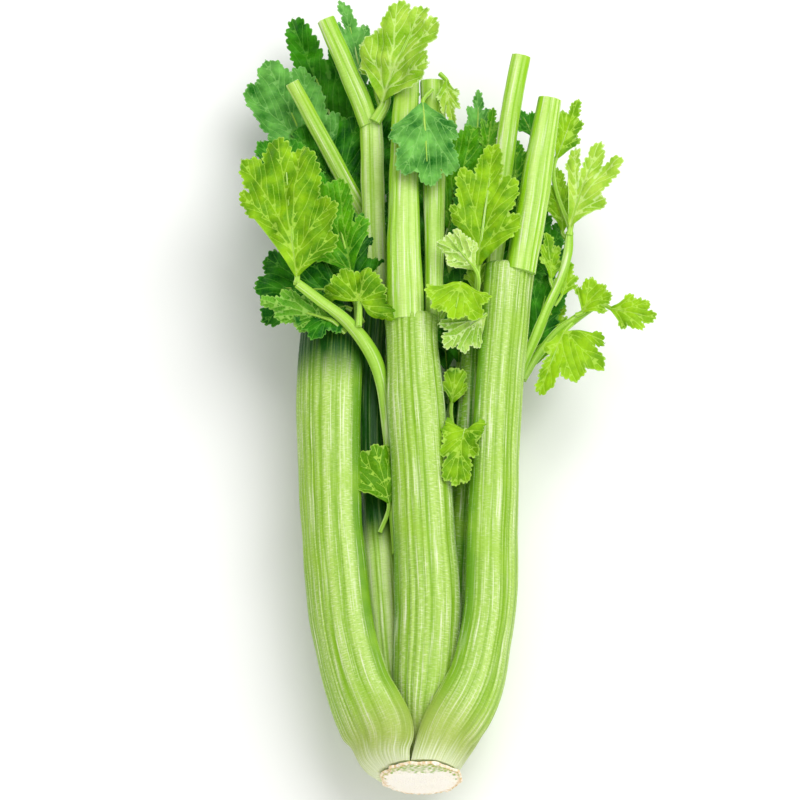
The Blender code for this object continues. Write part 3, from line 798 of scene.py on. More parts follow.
    def end_patches(self, rings: np.ndarray, sideways: np.ndarray, outward: np.ndarray,
                    forward: np.ndarray, marks: dict) -> list:
        """Close the two ends of the sweep.

        Args:
            rings: The sweep's rings of points.
            sideways: The direction across the face at each station.
            outward: The direction out of the face at each station.
            forward: The direction along the run at each station.
            marks: What the sweep's points carry.

        Returns:
            The patches of the ends.
        """
        rng = seeded(self.name + "_ends")
        count = rings.shape[1]
        patches = []
        for index in (0, -1):
            cut = index == -1 and self.top is End.CUT
            shares, rises = (CUT_SHARES, CUT_RISES) if cut else (SUNK_SHARES, SUNK_RISES)
            axis = forward[index] if index else -forward[index]
            layers = shrunk(rings[index], shares, rises, axis)
            if cut:
                rough = ripple(layers @ sideways[index], layers @ outward[index], rng, 2.2)
                layers[1:] += (0.10 * rough[1:])[..., None] * axis
            carried = {key: values[-count:] if index else values[:count]
                       for key, values in marks.items()}
            patches.append(cap_patch(layers, sideways[index], outward[index], int(cut),
                                     carried, len(self.ribs), index == -1))
        return patches


def seated(forward: np.ndarray, y: np.ndarray) -> np.ndarray:
    """Turn a run's directions to the crown's axis at its foot, where it clasps the crown.

    Args:
        forward: The direction along the run at each station.
        y: How far each station is from the cut.

    Returns:
        The directions that the sections are square to.
    """
    slant = math.radians(CROWN_SLANT)
    axis = np.array([0.0, math.cos(slant), -math.sin(slant)])
    share = smooth_step(SEAT_FREE, SEAT_FLAT, y)[:, None]
    return unit(forward + share * (axis - forward))


def shrunk(ring: np.ndarray, shares: tuple, rises: tuple, axis: np.ndarray) -> np.ndarray:
    """Rings that shrink towards a ring's middle.

    Args:
        ring: The ring of points.
        shares: The size of each ring, as a share of the first.
        rises: How far each ring stands along the axis, in millimetres.
        axis: The direction in which the rings rise.

    Returns:
        The rings.
    """
    middle = ring.mean(0)
    return np.stack([middle + share * (ring - middle) + rise * axis
                     for share, rise in zip(shares, rises)])


# The rings that close an end, from its edge to near its middle: their sizes and their rises.
SHOULDER_SHARES = tuple(1.0 - 0.9 * (i / 12) ** 1.8 for i in range(13))
SHOULDER_RISES = tuple(3.2 * math.sin(0.5 * math.pi * min(1.0, i / 9)) for i in range(13))
CUT_SHARES = (1.0, 0.985, 0.955, 0.92, 0.88, 0.84, 0.80, 0.75, 0.70, 0.64, 0.56, 0.46, 0.34, 0.2)
CUT_RISES = (0.0, 0.12, 0.10, 0.0, -0.05, -0.10, -0.14, -0.18, -0.2, -0.22, -0.24, -0.26, -0.28,
             -0.30)
SUNK_SHARES = (1.0, 0.5)
SUNK_RISES = (0.0, 0.0)


def ring_quads(rings: int, count: int) -> tuple:
    """The four-sided faces between rings of points, with each one's ring and place in it.

    Args:
        rings: How many rings there are.
        count: How many points each has.

    Returns:
        The faces, the number of each one's ring and its place round that ring.
    """
    i, k = (grid.ravel() for grid in np.meshgrid(np.arange(rings - 1), np.arange(count),
                                                 indexing="ij"))
    after = (k + 1) % count
    return np.stack([i * count + k, (i + 1) * count + k, (i + 1) * count + after,
                     i * count + after], 1), i, k


def swept_patch(rings: np.ndarray, around: np.ndarray, along: np.ndarray, finish: int,
                marks: dict) -> Patch:
    """Join rings of points with four-sided faces.

    Args:
        rings: The rings, one for each station, each with the same count of points.
        around: The chart's first coordinate at each point of a ring, and again at its start.
        along: The chart's second coordinate at each station.
        finish: The number of the material.
        marks: What each point carries, by its name.

    Returns:
        The patch, open at both ends.
    """
    faces, i, k = ring_quads(*rings.shape[:2])
    corners = np.stack([np.stack([around[k + right], along[i + up]], 1)
                        for right, up in ((0, 0), (0, 1), (1, 1), (1, 0))], 1)
    return Patch(rings.reshape(-1, 3), [faces], np.empty((0, 2)), [finish], marks, [corners])


def cap_patch(layers: np.ndarray, sideways: np.ndarray, outward: np.ndarray, finish: int,
              carried: dict, strings: int, at_top: bool) -> Patch:
    """Close an end with rings that shrink to a point.

    Args:
        layers: The rings, from the edge inwards.
        sideways: The direction of the chart's first coordinate.
        outward: The direction of the chart's second coordinate.
        finish: The number of the material.
        carried: What the points of the sweep's own ring carry.
        strings: How many string ends show along the outer face.
        at_top: Whether this is the run's top end, which sets the faces' direction.

    Returns:
        The patch.
    """
    count = layers.shape[1]
    middle = layers[-1].mean(0)
    points = np.vstack([layers.reshape(-1, 3), middle])
    quads = ring_quads(len(layers), count)[0]
    ring = (len(layers) - 1) * count + np.arange(count)
    fan = np.stack([ring, np.full(count, len(points) - 1), np.roll(ring, -1)], 1)
    faces = [quads, fan] if at_top else [quads[:, ::-1], fan[:, ::-1]]
    flat = np.stack([points @ sideways, points @ outward], 1)
    radius = np.linalg.norm(layers - middle, axis=-1)
    outer = (OUTER_POINTS * strings + SPARE_POINTS) / count
    place = np.arange(count) / (count * outer)
    spot = np.where(place < 1.0, np.sin(math.pi * place * strings) ** 2, 0.0)
    deep = np.exp(-((radius[0] - radius - 1.5) / 0.55) ** 2)
    marks = {key: np.append(np.tile(values, len(layers)), values.mean())
             for key, values in carried.items()}
    marks["rim"] = np.append((radius / radius[0]).ravel(), 0.0)
    marks["string"] = np.append((0.8 * deep * smooth_step(0.6, 0.95, spot)).ravel(), 0.0)
    return Patch(points, faces, flat, [finish] * 2, marks)


# ---------------------------------------------------------------------------------------------
# Crown
# ---------------------------------------------------------------------------------------------


@dataclass(frozen=True)
class Crown:
    """The short stem at the foot of the head, cut across with a knife.

    It is a body turned about the cut's own axis, which slants so that the cut faces a little
    upwards. The rim is torn where the knife left the outer stalks.
    """

    name: str = "crown"
    radius: float = CROWN_RADIUS
    slant: float = CROWN_SLANT
    dome: float = 1.5
    rim: float = CROWN_RIM
    core_height: float = CROWN_CORE_HEIGHT
    edge_round: float = 0.9
    around: int = 192
    face_rings: int = 44
    edge_rings: int = 9

    def profile(self) -> np.ndarray:
        """Radius and height of each ring, from the middle of the cut to the top of the core."""
        reach = np.linspace(0.02, 1.0, self.face_rings) ** 0.9 * (self.radius - self.edge_round)
        face = np.stack([reach, -self.dome * (1.0 - (reach / self.radius) ** 2)], 1)
        turn = np.linspace(-0.45 * math.pi, 0.5 * math.pi, self.edge_rings)
        edge = np.stack([self.radius - self.edge_round + self.edge_round * np.cos(turn),
                         0.5 * self.rim * (1.0 + np.sin(turn))], 1)
        core = np.array([(self.radius - 4.0, self.rim + 0.1), (12.4, self.rim + 0.5),
                         (10.6, 3.2), (9.0, 5.6), (6.4, 8.4), (4.2, 10.0), (2.5, 10.9),
                         (0.6, self.core_height)])
        return np.vstack([face, edge, core])

    def piece(self, flesh: bpy.types.Material, skin: bpy.types.Material) -> Piece:
        """Turn the crown and roughen its cut.

        Args:
            flesh: The material of the cut face.
            skin: The material of the sides.

        Returns:
            The finished piece.
        """
        rng = seeded(self.name)
        profile = self.profile()
        turn = np.arange(self.around) / self.around * 2.0 * math.pi
        radius = profile[:, :1] + 0.0 * turn
        height = profile[:, 1:] + 0.0 * turn
        x, y = radius * np.cos(turn), radius * np.sin(turn)
        share = np.clip(radius / self.radius, 0.0, 1.0)
        on_face = (np.arange(len(profile)) < self.face_rings)[:, None]
        near_rim = smooth_step(0.80, 1.0, share)
        torn = ripple(x, y, rng, 3.0)
        radius = radius * (1.0 - 0.030 * near_rim * (1.0 + ripple(9.0 * np.cos(turn),
                                                                9.0 * np.sin(turn), rng, 3.5)))
        height = height + on_face * (0.10 * ripple(x, y, rng, 1.6) + 0.35 * near_rim * torn
                                     + 0.25 * ripple(x, y, rng, 11.0))
        string = self.string_ends(x, y, share, rng) * on_face
        height = height - 0.25 * string
        x, y = radius * np.cos(turn), radius * np.sin(turn)
        tilt = math.radians(-90.0 - self.slant)
        rings = np.stack([x, y * math.cos(tilt) - height * math.sin(tilt),
                          y * math.sin(tilt) + height * math.cos(tilt)], -1)
        count = self.around
        marks = {
            "rim": (share + 0.06 * near_rim * torn - 0.08 * ~on_face).ravel(),
            "string": string.ravel(),
            "from_crown": np.maximum(rings[..., 1], 0.0).ravel(),
            "ridge": np.full(rings.shape[0] * count, 0.6),
        }
        flat = np.stack([x.ravel(), y.ravel()], 1)
        faces = ring_quads(len(rings), count)[0]
        cut = (self.face_rings + self.edge_rings - 2) * count
        ring = np.arange(1, count - 1)
        fan = np.stack([0 * ring, ring, ring + 1], 1)
        last = (len(rings) - 1) * count
        patch = Patch(rings.reshape(-1, 3),
                      [faces[:cut], fan[:, ::-1], faces[cut:], fan + last],
                      flat, [0, 0, 1, 1], marks)
        return Piece(self.name, [patch], [flesh, skin], "cut_crown")

    def string_ends(self, x: np.ndarray, y: np.ndarray, share: np.ndarray,
                    rng: np.random.Generator) -> np.ndarray:
        """Dots where the outer stalks' strings were cut, in a row inside the upper rim.

        Args:
            x: Across the cut, in millimetres.
            y: Down the cut, in millimetres.
            share: The radius at each point, as a share of the crown's.
            rng: Where the dots' unevenness comes from.

        Returns:
            How strongly each point lies on a dot, from 0 to 1.
        """
        found = np.zeros_like(x)
        for turn in np.radians(np.arange(-172.0, -8.0, 12.5)):
            turn += rng.uniform(-0.05, 0.05)
            reach = self.radius * rng.uniform(0.80, 0.93)
            size = rng.uniform(0.5, 0.95)
            gap = np.hypot(x - reach * math.cos(turn), y - reach * math.sin(turn))
            found = np.maximum(found, smooth_step(1.25, 0.7, gap / size))
        line = -y / self.radius + 0.06 * ripple(x, y, rng, 4.0)
        band = np.maximum(smooth_step(0.52, 0.62, line),
                          smooth_step(0.90, 0.95, share) * smooth_step(0.0, 0.3, line))
        return np.maximum(found, 0.60 * band * (0.8 + 0.5 * ripple(x, y, rng, 2.0)))


# ---------------------------------------------------------------------------------------------
# Leaves
# ---------------------------------------------------------------------------------------------


class LobePlan(Enum):
    """How a blade is cut into lobes.

    Each lobe is its direction from the midrib, in degrees, its reach as a share of the blade's
    length, and how far out the notch after it stops. A plan with no direction under 0 is one side
    from the tip down, and is mirrored; the others go from the right side to the left.
    """

    BROAD = ((0, 1.0, 0.92), (26, 0.95, 0.88), (50, 0.68, 0))
    KITE = ((0, 1.0, 0.86), (21, 0.78, 0.86), (40, 0.56, 0))
    CUT = ((0, 1.0, 0.66), (27, 0.80, 0.70), (54, 0.60, 0))
    NARROW = ((0, 1.0, 0.80), (16, 0.72, 0.80), (32, 0.46, 0))
    FAN = ((0, 0.94, 0.90), (28, 1.0, 0.88), (56, 0.86, 0))
    TRIPLE = ((0, 1.0, 0.82), (20, 0.80, 0.34), (60, 0.66, 0.84), (84, 0.74, 0.80), (106, 0.56, 0))
    FRONT = ((56, 0.40, 0.92), (33, 0.60, 0.93), (10, 0.93, 0.96), (-4, 1.0, 0.97),
             (-18, 0.92, 0.95), (-31, 0.72, 0))
    SIDE = ((32, 0.62, 0.80), (9, 0.98, 0.95), (-9, 0.98, 0.93), (-30, 0.80, 0.90), (-50, 0.50, 0))
    DRAPE = ((112, 1.30, 0.88), (64, 1.0, 0.95), (8, 0.95, 0.95), (-52, 1.15, 0.92), (-86, 1.20, 0))
    CLAW = ((34, 0.50, 0.80), (19, 0.97, 0.60), (0, 1.0, 0.46), (-17, 0.90, 0))
    GOBLET = ((0, 1.0, 0.92), (16, 0.96, 0.80), (44, 0.66, 0.86), (76, 0.55, 0.84), (102, 0.52, 0))
    SICKLE = ((18, 0.44, 0.80), (0, 1.0, 0.78), (-30, 0.82, 0.80), (-60, 0.74, 0.78),
              (-88, 0.56, 0))

    def from_left(self) -> tuple:
        """The lobes from the left side to the right, and the notches between them."""
        lobes = list(self.value)
        if lobes[-1][0] >= 0:
            notches = [notch for _, _, notch in lobes]
            left = [(-angle, reach) for angle, reach, _ in reversed(lobes[1:])]
            right = [(angle, reach) for angle, reach, _ in lobes]
            return left + right, [*reversed(notches[:-1]), *notches[:-1]]
        lobes.reverse()
        return [(angle, reach) for angle, reach, _ in lobes], [notch for *_, notch in lobes[1:]]


class LeafAge(Enum):
    """How old a leaf is, which sets its finishes: the upper side, the underside and the slot."""

    MATURE = ("mature_upper", "mature_under", "mature_leaf")
    GREEN = ("green_upper", "green_under", "mature_leaf")
    YOUNG = ("young_upper", "young_under", "young_leaf")
    PALE = ("pale_upper", "pale_under", "pale_leaf")
    BLUISH = ("bluish_upper", "bluish_under", "mature_leaf")


@dataclass(frozen=True)
class Vein:
    """A vein of the flat blade: its line, and its half width at its start and end."""

    line: np.ndarray
    start: float
    end: float


@dataclass(frozen=True)
class Outline:
    """The flat blade's edge as a closed ring, and the tips of its lobes."""

    ring: np.ndarray
    lobe_tips: list


@dataclass(frozen=True)
class Leaf:
    """A leaf: where its stem starts, the neck of its blade, the tip, and how it is turned.

    roll turns the blade about its midrib, away from facing up. bend is how far the tip curls
    back over the length, and fold is how far each half rises towards the upper side. ruffle is
    the height of the margin's waves as a share of the width. tone makes the green
    lighter, or darker under 0: partly the leaf's own colour, and partly painted light on leaves
    in the open and painted shade on leaves deep in the bunch. stem is the stem's thickness and
    vein_size multiplies that of the veins.
    """

    name: str
    root: tuple
    neck: tuple
    tip: tuple
    width: float
    roll: float
    bend: float
    fold: float
    plan: LobePlan
    age: LeafAge
    ruffle: float = 0.06
    tone: float = 0.0
    stem: float = 2.6
    vein_size: float = 1.0

    @property
    def length(self) -> float:
        """The midrib's length before it is bent."""
        half = math.radians(self.bend) / 2.0
        return math.dist(self.neck, self.tip) * half / math.sin(half)

    def edge_line(self, rng: np.random.Generator) -> tuple:
        """The margin without its teeth.

        Args:
            rng: Where the lobes' unevenness comes from.

        Returns:
            The margin's points from left to right, and the places of its tips and notches on it
            as (distance along, whether it is a tip).
        """
        lobes, notches = self.plan.from_left()
        lobes = [(angle + rng.uniform(-2.5, 2.5), reach * rng.uniform(0.95, 1.04))
                 for angle, reach in lobes]
        angles, radii, stops = [], [], []
        for (a0, r0), (a1, r1), notch in zip(lobes, lobes[1:], notches):
            stops.append((0.5 * (a0 + a1), notch * min(r0, r1) * rng.uniform(0.94, 1.04)))
        gaps = (lobes[1][0] - lobes[0][0], lobes[-1][0] - lobes[-2][0])
        ends = [(lobes[0][0] - 0.42 * gaps[0], 0.70 * lobes[0][1]),
                (lobes[-1][0] + 0.42 * gaps[1], 0.70 * lobes[-1][1])]
        stops = [ends[0], *stops, ends[1]]
        marks = []
        for (angle, reach), before, after in zip(lobes, stops, stops[1:]):
            for (far, low), way in ((before, -1), (after, 1)):
                t = np.linspace(0.0, 1.0, 14)
                t = t[::-1] if way < 0 else t[1:]
                angles += list(angle + t * (far - angle))
                radii += list(low + (reach - low) * (1.0 - t ** 2.2) ** 0.75)
                marks.append((len(angles) - 1, way < 0))
        turn = np.radians(angles)
        line = np.stack([np.array(radii) * np.sin(turn), np.array(radii) * np.cos(turn)], 1)
        line *= (self.width / np.ptp(line[:, 0]), self.length)
        along = lengths_along(line)
        return line, [(0.0, False)] + [(along[i], tip) for i, tip in marks]

    def outline(self, rng: np.random.Generator) -> Outline:
        """The blade's edge with its teeth, and its straight sides down to the neck.

        Args:
            rng: Where the unevenness comes from.

        Returns:
            The outline.
        """
        line, stops = self.edge_line(rng)
        pitch = 2.0 + 0.030 * self.width
        depth = TOOTH_DEPTH * pitch
        along = lengths_along(line)
        wanted = np.linspace(0.0, along[-1], round(along[-1] / 0.3))
        base = np.stack([np.interp(wanted, along, line[:, i]) for i in (0, 1)], 1)
        tangent = unit(np.gradient(base, axis=0))
        normal = np.stack([-tangent[:, 1], tangent[:, 0]], 1)
        wave, lean = np.zeros(len(base)), np.zeros(len(base))
        for (start, is_tip), (end, _) in zip(stops, stops[1:]):
            inside = (wanted >= start) & (wanted <= end)
            span = max(end - start, 1e-6)
            count = max(1, round(span / pitch)) + 0.5
            from_tip = (wanted[inside] - start) / span
            from_tip = from_tip if is_tip else 1.0 - from_tip
            wave[inside] = np.abs(np.cos(math.pi * from_tip * count)) ** 0.9
            lean[inside] = -1.0 if is_tip else 1.0
        size = depth * (1.0 + 0.35 * ripple(wanted, 0 * wanted, rng, 9.0))
        scallop = np.abs(np.sin(math.pi * wanted / LOBULE_PITCH)) ** 0.7 - 0.6
        edge = base + (size * (wave - 0.35) + 1.1 * depth * scallop)[:, None] * normal
        edge += (TOOTH_LEAN * size * wave * lean)[:, None] * tangent
        tips = [edge[np.searchsorted(wanted, at).clip(0, len(edge) - 1)] for at, _ in stops[1::2]]
        sides = []
        for end, way in ((edge[0], -1.0), (edge[-1], 1.0)):
            t = np.linspace(0.0, 1.0, 40)[:, None]
            neck = np.array([0.8 * way, 0.0])
            middle = 0.5 * (end + neck) * (0.82, 1.0)
            sides.append((1 - t) ** 2 * neck + 2 * t * (1 - t) * middle + t * t * end)
        ring = np.vstack([resampled(sides[0], 1.0)[:-1], resampled(edge, OUTLINE_STEP),
                          resampled(sides[1], 1.0)[:-1][::-1]])
        return Outline(ring, tips)

    def veins(self, outline: Outline, rng: np.random.Generator) -> list:
        """The veins: one to each lobe's tip, and fine ones from those to the margin.

        Args:
            outline: The blade's edge.
            rng: Where the fine veins' unevenness comes from.

        Returns:
            The veins.
        """
        found, mains, branches = [], [], []
        leans = [math.degrees(math.atan2(abs(x), y)) for x, y in outline.lobe_tips]
        thick = (0.24 + 0.005 * self.width) * self.vein_size
        for tip, lean in zip(outline.lobe_tips, leans):
            midrib = lean == min(leans)
            leave = 0.0 if midrib else max(0.0, 0.30 - 0.0055 * lean) * self.length
            root = np.array([0.0, leave])
            bow = root + (tip - root) * ((0.5, 0.5) if midrib else (0.36, 0.56))
            t = np.linspace(0.0, 0.985, 30)[:, None]
            mains.append(resampled((1 - t) ** 2 * root + 2 * t * (1 - t) * bow + t * t * tip, 1.0))
            share = 1.0 if midrib else max(0.5, 0.8 - 0.004 * lean)
            found.append(Vein(mains[-1], thick * share, 0.2))
        for index, main in enumerate(mains):
            reach = lengths_along(main)[-1]
            for start in np.arange(0.10 * reach, 0.93 * reach, BRANCH_STEP):
                for way in (-1.0, 1.0):
                    rest = np.vstack([*mains[:index], *mains[index + 1:], *branches])
                    branch = self.branch(outline, main, rest, start + rng.uniform(-0.8, 0.8), way)
                    if len(branch) > 4:
                        branches.append(branch)
                        found.append(Vein(branch, 0.15, 0.08))
        return found

    def branch(self, outline: Outline, main: np.ndarray, rest: np.ndarray, start: float,
               way: float) -> np.ndarray:
        """A fine vein that leaves a main one and runs out to the margin.

        Args:
            outline: The blade's edge.
            main: The main vein that it leaves.
            rest: The points of the other veins, which it stays clear of.
            start: How far along the main vein it leaves.
            way: 1 to leave on the right side, or -1 on the left.

        Returns:
            Its points, 1 mm apart.
        """
        along = lengths_along(main)
        at, ahead = (np.array([np.interp(where, along, main[:, i]) for i in (0, 1)])
                     for where in (start, start + 1.0))
        heading = math.atan2(*(ahead - at)) + way * BRANCH_LEAN
        ring, line = outline.ring, [at]
        for step in range(BRANCH_POINTS):
            at = at + (math.sin(heading), math.cos(heading))
            heading -= way * BRANCH_TURN
            crowded = step > 2 and np.hypot(*(rest - at).T).min() < BRANCH_ROOM
            if crowded or not encloses(ring, at):
                break
            line.append(at)
            if np.hypot(*(ring - at).T).min() < BRANCH_END:
                break
        return np.array(line)

    @staticmethod
    def forks(lines: list) -> np.ndarray:
        """Points midway between veins that fork, so that the blade shows green between them.

        Args:
            lines: The veins' points.

        Returns:
            The points.
        """
        found = [np.zeros((0, 2))]
        for i, line in enumerate(lines[1:], 1):
            others = np.vstack(lines[:i])
            away = np.linalg.norm(line[:, None] - others[None], axis=2)
            close = (away.min(1) > FORK_GAPS[0]) & (away.min(1) < FORK_GAPS[1])
            found.append(0.5 * (line + others[away.argmin(1)])[close])
        return np.unique(np.round(np.vstack(found), 1), axis=0)

    def sheet(self, outline: Outline, veins: list, rng: np.random.Generator) -> tuple:
        """Fill the flat outline with triangles whose edges follow the veins.

        Args:
            outline: The blade's edge.
            veins: The veins, whose lines become edges.
            rng: Where the inner points' unevenness comes from.

        Returns:
            The flat points and the triangles.
        """
        lines = [outline.ring, *(vein.line for vein in veins)]
        count = len(outline.ring)
        edges = [(i, (i + 1) % count) for i in range(count)]
        for line in lines[1:]:
            edges += [(count + i, count + i + 1) for i in range(len(line) - 1)]
            count += len(line)
        fixed = np.vstack(lines)
        low, high = fixed.min(0), fixed.max(0)
        x, y = np.meshgrid(np.arange(low[0], high[0], LEAF_CELL),
                           np.arange(low[1], high[1], LEAF_ROW))
        x = x + 0.5 * LEAF_CELL * (np.arange(len(x)) % 2)[:, None]
        inner = np.stack([x.ravel(), y.ravel()], 1)
        inner += rng.uniform(-0.2, 0.2, inner.shape) * LEAF_CELL
        gap = np.full(len(inner), 1e9)
        for start in range(0, len(fixed), 64):
            away = inner[:, None] - fixed[None, start:start + 64]
            gap = np.minimum(gap, np.sqrt((away ** 2).sum(2)).min(1))
        inner = inner[gap > LEAF_ROOM]
        given = [Vector(p) for p in np.vstack([fixed, inner, self.forks(lines[1:])]).tolist()]
        made = delaunay_2d_cdt(given, edges, [], 1, 1e-3)
        flat = np.array([tuple(p) for p in made[0]])
        used, numbered = np.unique(np.array([face for face in made[2] if len(face) == 3]),
                                   return_inverse=True)
        triangles = numbered.reshape(-1, 3)
        flat = flat[used]
        a, b, c = (flat[triangles[:, i]] for i in range(3))
        turned = ((b - a)[:, 0] * (c - a)[:, 1] - (b - a)[:, 1] * (c - a)[:, 0]) < 0
        triangles[turned] = triangles[turned][:, ::-1]
        return flat, triangles

    def placed(self, x: np.ndarray, y: np.ndarray, z: np.ndarray) -> np.ndarray:
        """Bend flat points about the blade and set them where the leaf stands.

        Args:
            x: To the side of the midrib, in millimetres.
            y: Along the midrib from the neck.
            z: Above the flat blade.

        Returns:
            The points in the head's frame.
        """
        neck = np.array(self.neck, float)
        along = unit(np.array(self.tip, float) - neck)
        up = unit(np.array([0.0, 0.0, 1.0]) - along[2] * along)
        roll = math.radians(self.roll)
        up = math.cos(roll) * up + math.sin(roll) * np.cross(along, up)
        side = np.cross(along, up)
        turn = math.radians(self.bend)
        radius = self.length / turn
        bent_y = (radius + z) * np.sin(y / radius)
        bent_z = (radius + z) * np.cos(y / radius) - radius
        half = turn / 2.0
        chord = bent_y * math.cos(half) - bent_z * math.sin(half)
        rise = bent_y * math.sin(half) + bent_z * math.cos(half)
        return neck + x[:, None] * side + chord[:, None] * along + rise[:, None] * up

    def relief(self, flat: np.ndarray, gap: np.ndarray, ratio: np.ndarray,
               rng: np.random.Generator) -> np.ndarray:
        """The height of the upper face above a flat sheet.

        Args:
            flat: The flat points.
            gap: How far each is from a vein, in millimetres.
            ratio: The same as a multiple of the vein's half width.
            rng: Where the waves come from.

        Returns:
            The heights in millimetres.
        """
        x, y = flat[:, 0], flat[:, 1]
        half = 0.5 * self.width
        reach = np.hypot(x / half, y / self.length)
        outer = smooth_step(0.35, 1.05, reach)
        turn = np.arctan2(x, np.maximum(y, 0.1))
        height = math.tan(math.radians(self.fold)) * (np.hypot(x, 1.5) - 1.5)
        height -= 0.10 * half * np.abs(x / half) ** 3
        phase, phase_2 = rng.uniform(0.0, 2.0 * math.pi, 2)
        height += self.ruffle * self.width * outer * (
            0.7 * np.sin(5.5 * turn + phase) + 0.5 * np.sin(11.0 * turn + phase_2))
        height += 0.035 * self.width * ripple(x, y, rng, 15.0) * smooth_step(0.0, 0.5, reach)
        quilt = 1.0 - np.exp(-(gap / QUILT_REACH) ** 2)
        height += QUILT_RISE * quilt * (1.0 + 0.4 * ripple(x, y, rng, 5.0))
        height -= 0.25 * np.exp(-ratio ** 2)
        return height

    def piece(self, finishes: dict, stem_skin: bpy.types.Material, stands_in: bool) -> Piece:
        """Make the leaf: a thin blade with raised veins beneath, and its stem.

        Args:
            finishes: The blade materials by their names.
            stem_skin: The material of the leaf's own stem.
            stands_in: Whether the leaf takes the place of a CAD node.

        Returns:
            The finished piece.
        """
        rng = seeded(self.name)
        outline = self.outline(rng)
        veins = self.veins(outline, rng)
        flat, triangles = self.sheet(outline, veins, rng)
        gap, ratio = line_gaps(flat, [v.line for v in veins], [(v.start, v.end) for v in veins])
        toothed = outline.ring[outline.ring[:, 1] > 0.12 * self.length]
        margin, _ = line_gaps(flat, [toothed], [(1.0, 1.0)])
        height = self.relief(flat, gap, ratio, rng)
        upper = self.placed(flat[:, 0], flat[:, 1], height)
        thickness = BLADE_THICKNESS + VEIN_THICKNESS * np.exp(-(0.8 * ratio) ** 2)
        lower = upper - thickness[:, None] * point_normals(upper, triangles)
        # Each leaf's own lightening or darkening, partly painted light and shade, plus a slow
        # random drift.
        tone = self.tone + 0.10 * ripple(flat[:, 0], flat[:, 1], rng, 22.0)
        marks = {"vein": np.tile(np.minimum(ratio, VEIN_FAR), 2),
                 "margin": np.tile(np.minimum(margin, MARGIN_FAR), 2), "tone": np.tile(tone, 2)}
        faces = [triangles, rim_faces(triangles, len(flat)), triangles[:, ::-1] + len(flat)]
        blade = Patch(np.vstack([upper, lower]), faces,
                      np.vstack([flat, flat]) + rng.uniform(0.0, 300.0, 2), [0, 0, 1], marks)
        above, below, slot = self.age.value
        return Piece(self.name, [blade, self.stem_patch()],
                     [finishes[above], finishes[below], stem_skin], slot, stands_in)

    def stem_patch(self) -> Patch:
        """The leaf's own stem: from its root to the neck, then thinning along the midrib."""
        reach = np.linspace(0.0, 0.72, 26) * self.length
        taper = np.interp(reach / self.length, (0.0, 0.12, 0.72), (0.42, 0.27, 0.10)) * self.stem
        rib = self.placed(0 * reach, reach, -1.1 * taper)
        root, neck = np.array(self.root, float), rib[0]
        span = np.linalg.norm(neck - root)
        root = root - 1.4 * unit(neck - root)
        leave = unit(rib[1] - rib[0]) * span
        t = np.linspace(0.0, 1.0, max(4, round(span / 1.5)))[:-1, None]
        way = (2 * t ** 3 - 3 * t ** 2 + 1) * root + (t ** 3 - 2 * t ** 2 + t) * (
            0.8 * (neck - root)) + (3 * t ** 2 - 2 * t ** 3) * neck + (t ** 3 - t ** 2) * leave
        line = np.vstack([way, rib])
        radii = np.concatenate([np.linspace(0.5, 0.42, len(way)) * self.stem, taper])
        return tube_patch(line, radii, STEM_SIDES, 2)


def encloses(ring: np.ndarray, point: np.ndarray) -> bool:
    """Whether a flat closed ring goes round a point."""
    after = np.roll(ring, -1, 0)
    level = (ring[:, 1] > point[1]) != (after[:, 1] > point[1])
    a, b = ring[level], after[level]
    crossing = a[:, 0] + (point[1] - a[:, 1]) * (b[:, 0] - a[:, 0]) / (b[:, 1] - a[:, 1])
    return bool((crossing > point[0]).sum() % 2)


def line_gaps(points: np.ndarray, lines: list, widths: list) -> tuple:
    """How far points are from lines.

    Args:
        points: The flat points.
        lines: The lines, each an array of points.
        widths: Each line's half width at its start and end.

    Returns:
        The distance to the nearest line, and the least distance as a multiple of half widths.
    """
    starts = np.vstack([line[:-1] for line in lines])
    ends = np.vstack([line[1:] for line in lines])
    half = np.concatenate([np.linspace(w[0], w[1], len(line) - 1)
                           for line, w in zip(lines, widths)])
    way = ends - starts
    square = np.maximum((way ** 2).sum(1), 1e-9)
    away = points[:, None] - starts[None]
    t = np.clip((away * way).sum(2) / square, 0.0, 1.0)
    gap = np.linalg.norm(away - t[..., None] * way, axis=2)
    return gap.min(1), (gap / half).min(1)


def point_normals(points: np.ndarray, triangles: np.ndarray) -> np.ndarray:
    """The normal at each point of a sheet of triangles."""
    a, b, c = (points[triangles[:, i]] for i in range(3))
    face = np.cross(b - a, c - a)
    total = np.zeros_like(points)
    for i in range(3):
        np.add.at(total, triangles[:, i], face)
    return unit(total)


def rim_faces(triangles: np.ndarray, count: int) -> np.ndarray:
    """The faces that join a sheet's edge to its copy, whose points are numbered from count."""
    edges = np.vstack([triangles[:, [0, 1]], triangles[:, [1, 2]], triangles[:, [2, 0]]])
    keys = edges[:, 0] * count + edges[:, 1]
    alone = edges[~np.isin(keys, edges[:, 1] * count + edges[:, 0])]
    return np.stack([alone[:, 1], alone[:, 0], alone[:, 0] + count, alone[:, 1] + count], 1)


